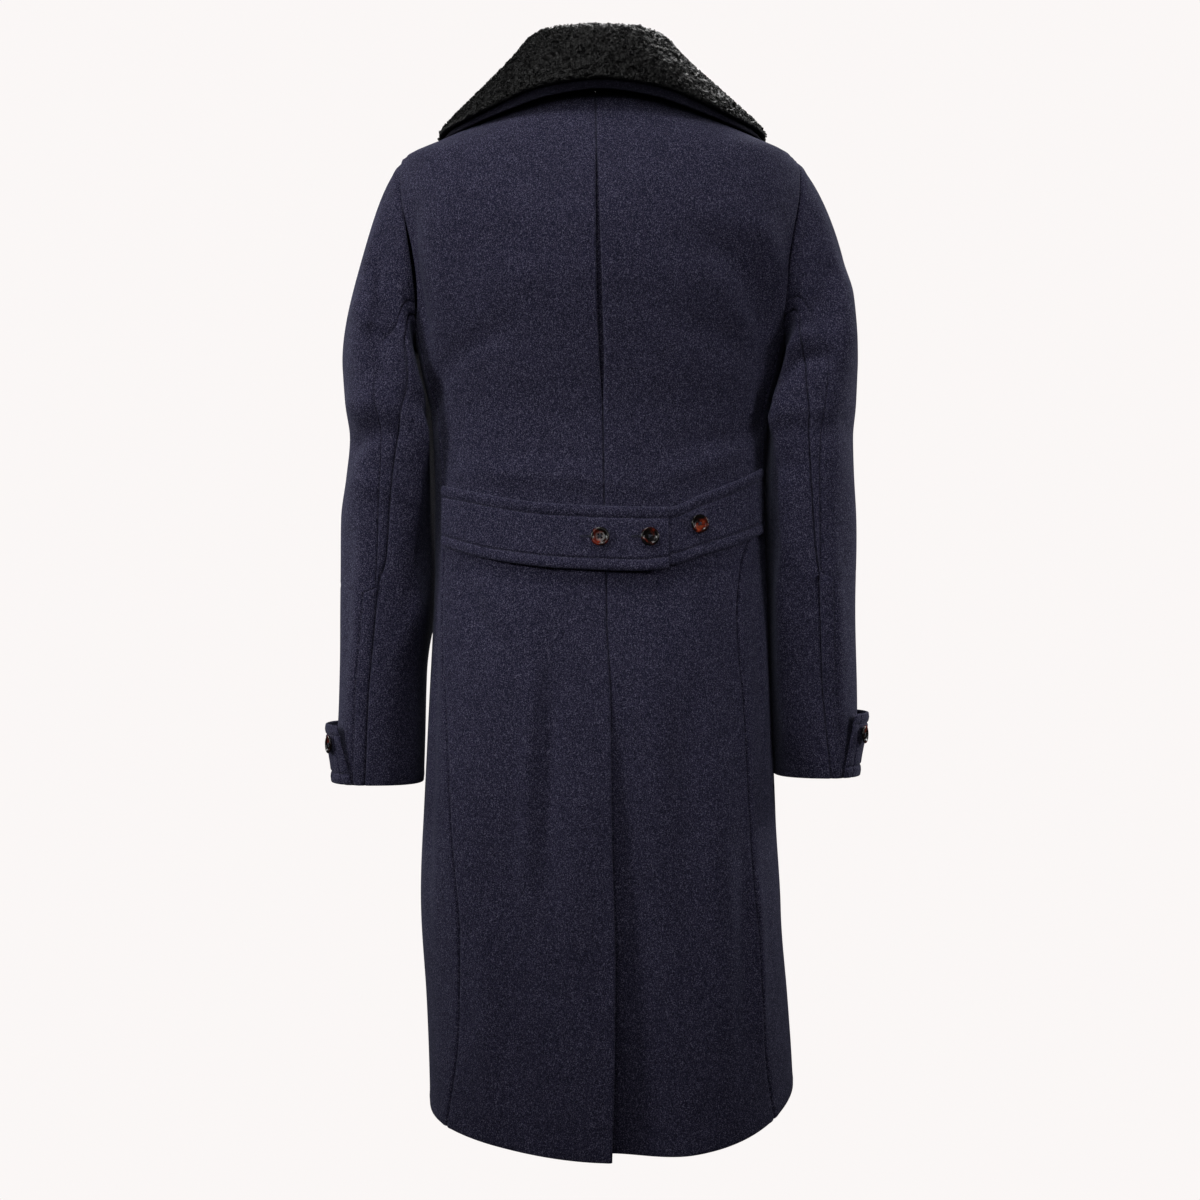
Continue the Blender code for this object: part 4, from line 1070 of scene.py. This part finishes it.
def furPoint(at, share, lift):  # share 1 is the pile's edge, nearer the collar's own over the shoulders
    end = mix(*collar["furEnd"], ease(*collar["furWidens"], np.abs(at)))
    lift = cloth["wool"] + collar["furGap"] + lift / cloth["fur"] * pileDepth(share)
    return collarPoint(at, share * end, lift)


def roughenPile(places, at, v, share):
    normal = unit(np.cross(np.gradient(places, axis=0), np.gradient(places, axis=1)))
    lumps = (valueNoise(places, pileLook["lump"]) - 0.5) * pileLook["lumpHigh"]
    curls = (valueNoise(places + pileLook["curlShift"], pileLook["curl"]) - 0.5) * pileLook["curlHigh"]
    return places + normal * ((lumps + curls - pileLook["sink"]) * share)[..., None]


def underCollarPoint(at, v, lift):  # its edge rolls in towards the back
    return collarPoint(at, v, lift - collar["edgeRoll"] * ease(collar["rollFrom"], 1.0, v))


# the under-collar's material carries painted shade: wool darkened for the shadow under the fur pile
sew(
    "underCollar", underCollarPoint, ((-1, 1), (0, 1)), "fold fold seam fold", "underCollar", "folded",
    ["backLeft", "backRight"], "under_collar", material=undercollarPaintedShadeWool, raised=True,
)
sew(
    "collarPile", furPoint, ((-1, 1), (0, 1)), "fur fur fur fur", "pile", "folded", ["underCollar"],
    "collar_fur", material=pile, slot="fur", thickness=cloth["fur"], raised=True, roughen=roughenPile,
)


def tubes(paths, reference, radius, around):  # paths n × k × 3, and a direction that no path follows
    count, steps = paths.shape[:2]
    tangent = unit(np.gradient(paths, axis=1))
    sideways = unit(np.cross(tangent, reference[:, None, :]))
    upward = np.cross(sideways, tangent)
    turns = np.arange(around) * 2 * math.pi / around
    radius = np.broadcast_to(radius, (count,))[:, None, None, None]
    rings = paths[:, :, None, :] + radius * (
        np.cos(turns)[:, None] * sideways[:, :, None, :] + np.sin(turns)[:, None] * upward[:, :, None, :]
    )
    tips = np.stack([
        paths[:, 0] - tangent[:, 0] * radius[:, 0, 0], paths[:, -1] + tangent[:, -1] * radius[:, 0, 0]
    ], 1)
    places = np.concatenate([rings.reshape(count, -1, 3), tips], 1)
    first = (np.arange(count) * (steps * around + 2))[:, None, None, None]
    k, a = np.arange(steps - 1)[:, None, None], np.arange(around)[None, :, None]
    after = (a + 1) % around
    low, high = k * around, (k + 1) * around
    quads = np.concatenate([low + a, low + after, high + after, high + a], -1)
    quads = (first + quads[None]).reshape(-1, 4)
    a, after = a[0], after[0]
    last = (steps - 1) * around
    caps = np.concatenate([
        np.concatenate([after, a, np.full_like(a, steps * around)], -1),
        np.concatenate([last + a, last + after, np.full_like(a, steps * around + 1)], -1),
    ])
    return places.reshape(-1, 3), quads, (first[:, 0] + caps[None]).reshape(-1, 3)


def addTubes(name, groups, material, slot):
    places, quads, caps = zip(*(tubes(*group) for group in groups))
    starts = np.cumsum([0] + [len(part) for part in places])
    quads, caps = (np.vstack([part + start for part, start in zip(parts, starts)]) for parts in (quads, caps))
    addMesh(name, np.vstack(places), quads, material, slot, caps)


curls = {
    "count": 6400, "radius": (0.0007, 0.0013), "thick": (0.00040, 0.00062), "seed": 11, "steps": 5,
    "turns": (-70, 215), "rise": 0.25, "spread": 0.25, "around": 3,
}
chance = np.random.default_rng(curls["seed"])
count = curls["count"]
at = chance.uniform(-0.995, 0.995, count)
v = chance.uniform(0.01, 0.995, count)
root = furPoint(at, v, np.full(count, cloth["fur"] - pileLook["sink"]))
normal = unit(furPoint(at, v, np.full(count, cloth["fur"])) - root)
spin = chance.uniform(0, 2 * math.pi, count)[:, None]
first = unit(np.cross(normal, np.array([0.3, 0.2, 1.0])))
tangent = first * np.cos(spin) + np.cross(normal, first) * np.sin(spin)
aside = np.cross(normal, tangent)
size = chance.uniform(*curls["radius"], count)[:, None, None]
angles = np.radians(np.linspace(*curls["turns"], curls["steps"]))[None, :, None]
spread = curls["spread"] * np.linspace(-1, 1, curls["steps"])[None, :, None]
rise = curls["rise"] - np.cos(angles)
paths = root[:, None] + size * (
    tangent[:, None] * np.sin(angles) + normal[:, None] * rise + aside[:, None] * spread
)
thick = chance.uniform(*curls["thick"], count)
addTubes("collarCurls", [(paths, aside, thick, curls["around"])], pile, "fur")
print("collar covered with curls")


# Buttons
button = {
    "profile": (
        (0.0, 1.3), (6.0, 1.3), (8.6, 1.7), (10.1, 2.5), (10.0, 4.0), (9.0, 4.6), (8.0, 4.6), (7.2, 4.2),
        (6.3, 3.4), (5.4, 3.2),
    ),
    "around": 64, "holeAt": 2.15, "holeRound": 0.85, "holeDeep": 1.7, "flatRings": 17, "centre": 3.1,
    "flatStop": 0.25, "threadRound": 0.00042, "threadApart": 0.35, "threadHigh": 0.25, "threadDips": 1.4,
    "shankRound": 1.9, "shank": (-0.0004, 0.0014), "rimFrom": 0.97, "rimRadius": 0.009, "dishRadius": 0.0035,
}  # lengths in millimetres, but threadRound, shank, rimRadius and dishRadius in metres


def chaikin(points, times):
    for _ in range(times):
        a, b = points[:-1], points[1:]
        cut = np.stack([a * 0.75 + b * 0.25, a * 0.25 + b * 0.75], 1).reshape(-1, points.shape[1])
        points = np.vstack([points[:1], cut, points[-1:]])
    return points


def buttonFrame(node):  # its middle, and the axis that points away from the cloth
    places = np.array([v.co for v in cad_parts[node].data.vertices], float)
    places = np.unique(places.round(6), axis=0)
    axis = np.linalg.svd(places - places.mean(0), full_matrices=False)[2][2]
    middle = (places.min(0) + places.max(0)) / 2
    for _ in range(3):
        away = norm(np.cross(places - middle, axis))
        middle = places[away > away.max() * button["rimFrom"]].mean(0)
    high, away = (places - middle) @ axis, norm(np.cross(places - middle, axis))
    if high[away > button["rimRadius"]].mean() < high[away < button["dishRadius"]].mean():
        axis, high = -axis, -high
    return middle + axis * high.min(), axis


def makeButton(node):
    base, axis = buttonFrame(node)
    right = unit(np.cross(axis, [0.0, 0.0, 1.0]))
    up = np.cross(right, axis)
    profile = chaikin(np.array(button["profile"]), 2)
    flat = np.linspace(profile[-1][0], button["flatStop"], button["flatRings"])[1:]
    flatHigh = mix(button["centre"], profile[-1][1], (flat / profile[-1][0]) ** 2)
    radius, high = np.concatenate([profile[1:, 0], flat]), np.concatenate([profile[1:, 1], flatHigh])
    turns = np.arange(button["around"]) * 2 * math.pi / button["around"]
    x, y = radius[:, None] * np.cos(turns), radius[:, None] * np.sin(turns)
    z = np.broadcast_to(high[:, None], x.shape).copy()
    corners = np.radians((45, 135, 225, 315))
    holes = button["holeAt"] * np.stack([np.cos(corners), np.sin(corners)], -1)
    nearest = np.min([np.hypot(x - hx, y - hy) for hx, hy in holes], axis=0)
    sink = button["holeDeep"] * (1 - ease(button["holeRound"] * 0.8, button["holeRound"] * 1.25, nearest))
    z[len(profile) - 1:] -= sink[len(profile) - 1:]
    rings = base + (x[..., None] * right + y[..., None] * up + z[..., None] * axis) / 1000
    count, around = x.shape
    places = np.vstack([
        rings.reshape(-1, 3), base + axis * profile[0][1] / 1000, base + axis * button["centre"] / 1000
    ])
    i, j = np.meshgrid(np.arange(count - 1), np.arange(around), indexing="ij")
    k = (j + 1) % around
    low, high, last = i * around, (i + 1) * around, (count - 1) * around
    quads = np.stack([low + j, low + k, high + k, high + j], -1).reshape(-1, 4)
    j, k = j[0], k[0]
    low = np.stack([k, j, np.full(around, count * around)], -1)
    top = np.stack([last + j, last + k, np.full(around, count * around + 1)], -1)
    piece = addMesh(node.replace("_", "-"), places, quads, horn, "button", np.vstack([low, top]))
    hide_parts(node)
    bars = []
    for (ax, ay), (bx, by) in ((holes[0], holes[2]), (holes[1], holes[3])):
        t = np.linspace(0, 1, 9)[:, None]
        flatPath = (1 - t) * [ax, ay] + t * [bx, by]
        rise = button["centre"] + button["threadHigh"] - button["threadDips"] * np.abs(2 * t[:, 0] - 1) ** 6
        for off in (-button["threadApart"], button["threadApart"]):
            shifted = flatPath + np.array([ay - by, bx - ax]) / math.hypot(ax - bx, ay - by) * off
            bars.append(base + (shifted[:, :1] * right + shifted[:, 1:] * up + rise[:, None] * axis) / 1000)
    for a in np.linspace(0, 2 * math.pi, 9)[:-1]:  # the shank of thread under the button
        t = np.linspace(*button["shank"], 9)[:, None]
        bars.append(base + t * axis + (math.cos(a) * right + math.sin(a) * up) * button["shankRound"] / 1000)
    bars = np.array(bars)
    reference = np.broadcast_to(right * 0.8 + up * 0.3 + axis * 0.1, (len(bars), 3))
    return bars, reference, button["threadRound"], 6


buttonNodes = sorted(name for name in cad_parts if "button" in name)
addTubes("buttonThreads", [makeButton(node) for node in buttonNodes], thread, None)
print(len(buttonNodes), "buttons sewn on")


# Stitching
stitch = {
    "long": 0.0027, "pitch": 0.0040, "thick": 0.00026, "sink": 0.0004, "first": 0.002, "around": 5,
    "steps": (0.0, 0.25, 0.75, 1.0), "lift": (-1.0, 0.35, 0.35, -1.0), "beltEnd": 0.002, "underLap": -0.0735,
    "outStep": 0.001,  # how far off the cloth the second point lies that tells which way is out
}


def stitchAlong(places, normals):
    run = np.concatenate([[0], np.cumsum(norm(np.diff(places, axis=0)))])
    starts = np.arange(stitch["first"], run[-1] - stitch["long"], stitch["pitch"])
    steps = starts[:, None] + stitch["long"] * np.array(stitch["steps"])
    path, away = (
        np.stack([np.interp(steps, run, row[:, k]) for k in range(3)], -1) for row in (places, normals)
    )
    away = unit(away)
    lift = np.array(stitch["lift"])[None, :, None] * stitch["sink"]
    return path + away * lift, away[:, 1], stitch["thick"], stitch["around"]


def lineOn(point, a, b, level):
    base, top = point(a, b, np.full(len(a), level)), point(a, b, np.full(len(a), level + stitch["outStep"]))
    return stitchAlong(base, unit(top - base))


beltLines, sleeveLines = [], []
groove = stitchGroove["deep"]
for side in sides:
    line = beltRows[side]
    x = np.linspace(line["x"][0] + stitch["beltEnd"], line["x"][-1] - stitch["beltEnd"], 160)
    if side == "right":
        x = x[x < stitch["underLap"]]
    inset = edgeStyles["beltEdge"]["stitchAt"] / (along(line, "bottom", x) - along(line, "top", x))
    for down in (inset, 1 - inset):
        beltLines.append(lineOn(partial(beltPoint, side), x, down, cloth["beltWool"] - groove))
    run = np.linspace(0.02, 1.99, 300)
    seam = np.radians(along(elbowSeam, side, run))
    share = 1 - sleeveShift(side, run, seam, edgeStyles["seamStitched"]["stitchAt"]) / seam
    sleeveLines.append(lineOn(partial(topSleevePoint, side), share, run, -groove))
    across = np.linspace(0.05, 0.97, 90)
    inset = np.full(len(across), edgeStyles["stitched"]["stitchAt"] / strap["tall"])
    for down in (inset, 1 - inset):
        sleeveLines.append(lineOn(partial(cuffStrapPoint, side), across, down, cloth["wool"] - groove))
addTubes("beltStitching", beltLines, thread, None)
addTubes("sleeveStitching", sleeveLines, thread, None)

buttonhole = {
    "spots": ((0.0203, 0.0100), (-0.0328, -0.0424)), "drop": 0.4905, "stitches": 30, "lift": 0.0003,
    "inner": (-0.0008, 0.0004), "outer": (0.0006, 0.0016), "steps": (0.0, 0.3, 0.7, 1.0), "thick": 0.00028,
}
bars = []
for start, end in buttonhole["spots"]:
    turns = np.linspace(0, 2 * math.pi, buttonhole["stitches"] + 1)[:-1]
    middle, reach = (start + end) / 2, (start - end) / 2
    inner, outer = (
        np.stack([middle + (reach + past) * np.cos(turns), tall * np.sin(turns)], -1)
        for past, tall in (buttonhole["inner"], buttonhole["outer"])
    )
    path = np.stack([mix(inner, outer, t) for t in buttonhole["steps"]], 1)
    drop = buttonhole["drop"] + path[..., 1]
    lift = beltLift("left", path[..., 0]) + cloth["beltWool"] + buttonhole["lift"] * np.array([-1, 1, 1, -1])
    spots = bodyPoint(drop, angleAt(drop, path[..., 0]), lift)
    away = unit(bodyPoint(drop, angleAt(drop, path[..., 0]), lift + stitch["outStep"]) - spots)
    bars.append((spots, away[:, 1], buttonhole["thick"], stitch["around"]))
addTubes("buttonholes", bars, thread, None)
print("stitching sewn")

for sheet in sheets:
    declareSheet(*sheet)


# Floor, light and camera
studio = {
    "floorDrop": 1.30, "floorHalf": 30.0, "floor": (0.16, 0.157, 0.155, 1.0),
    "seen": (0.962, 0.930, 0.922, 1.0), "soft": 0.035,
}


def seenPlain(tree, lit, kind):  # the camera sees the even pale ground, other rays see what lights the coat
    seen = addNode(tree, kind, {"Color": studio["seen"], "Strength": 1.0}).outputs[0]
    ray = addNode(tree, "LightPath").outputs["Is Camera Ray"]
    return addNode(tree, "MixShader", {0: ray, 1: lit, 2: seen}).outputs[0]


floorMaterial, tree, shader = newMaterial("paleFloor")
plug(tree, shader, {"Base Color": studio["floor"], "Roughness": 0.9})
plug(tree, tree.nodes["Material Output"], {"Surface": seenPlain(tree, shader.outputs["BSDF"], "Emission")})
half, level = studio["floorHalf"], -studio["floorDrop"]
floorMesh = bpy.data.meshes.new("floor")
corners = [(-half, -half, level), (half, -half, level), (half, half, level), (-half, half, level)]
floorMesh.from_pydata(corners, [], [(0, 1, 2, 3)])
floorMesh.materials.append(floorMaterial)
floor = bpy.data.objects.new("floor", floorMesh)
scene.collection.objects.link(floor)

world = bpy.data.worlds.new("studio")
world.use_nodes = True
tree = world.node_tree
dim = plug(tree, tree.nodes["Background"], {"Color": studio["seen"], "Strength": studio["soft"]})
plug(tree, tree.nodes["World Output"], {"Surface": seenPlain(tree, dim.outputs[0], "Background")})
scene.world = world

lights = (  # the name behind the coat and before it, the place, the aim, the width, the power and the beam
    ("keyLight", "frontKeyLight", (1.85, 0.85, 0.10), (0.20, 0.05, -0.52), 0.7, 1.35, 46),
    ("fillLight", "frontFillLight", (-1.85, 0.85, 0.10), (-0.20, 0.05, -0.52), 0.7, 0.85, 46),
    ("backLight", "frontLight", (0.30, 2.40, 0.30), (0.05, 0.0, -0.42), 0.8, 0.92, 60),
    ("topLight", "frontTopLight", (0.35, 0.75, 1.20), (0.05, 0.05, -0.20), 0.7, 8.0, 140),
)
for before in (0, 1):
    for *names, place, towards, size, power, opening in lights:
        lamp = bpy.data.lights.new(names[before], "AREA")
        lamp.shape = "DISK"
        lamp.size, lamp.energy, lamp.spread = size, power, math.radians(opening)
        lightObject = bpy.data.objects.new(names[before], lamp)
        scene.collection.objects.link(lightObject)
        lightObject.visible_camera = False
        turned = np.array([-1.0, -1.0, 1.0]) if before else np.ones(3)
        lightObject.location = turned * place
        aim = turned * (np.array(towards) - place)
        lightObject.rotation_euler = (
            math.pi / 2 + math.asin(aim[2] / norm(aim)), 0.0, math.atan2(aim[1], aim[0]) - math.pi / 2
        )

view = {"place": (0.0, 2.13, -0.5576), "lens": 56.6, "sensor": 36.0}
lens = bpy.data.cameras.new("camera")
lens.lens, lens.sensor_width = view["lens"], view["sensor"]
camera = bpy.data.objects.new("camera", lens)
scene.collection.objects.link(camera)
camera.location = view["place"]
camera.rotation_euler = (math.pi / 2, 0.0, math.pi)
scene.camera = camera
scene.view_settings.view_transform = "Standard"
print("studio ready")
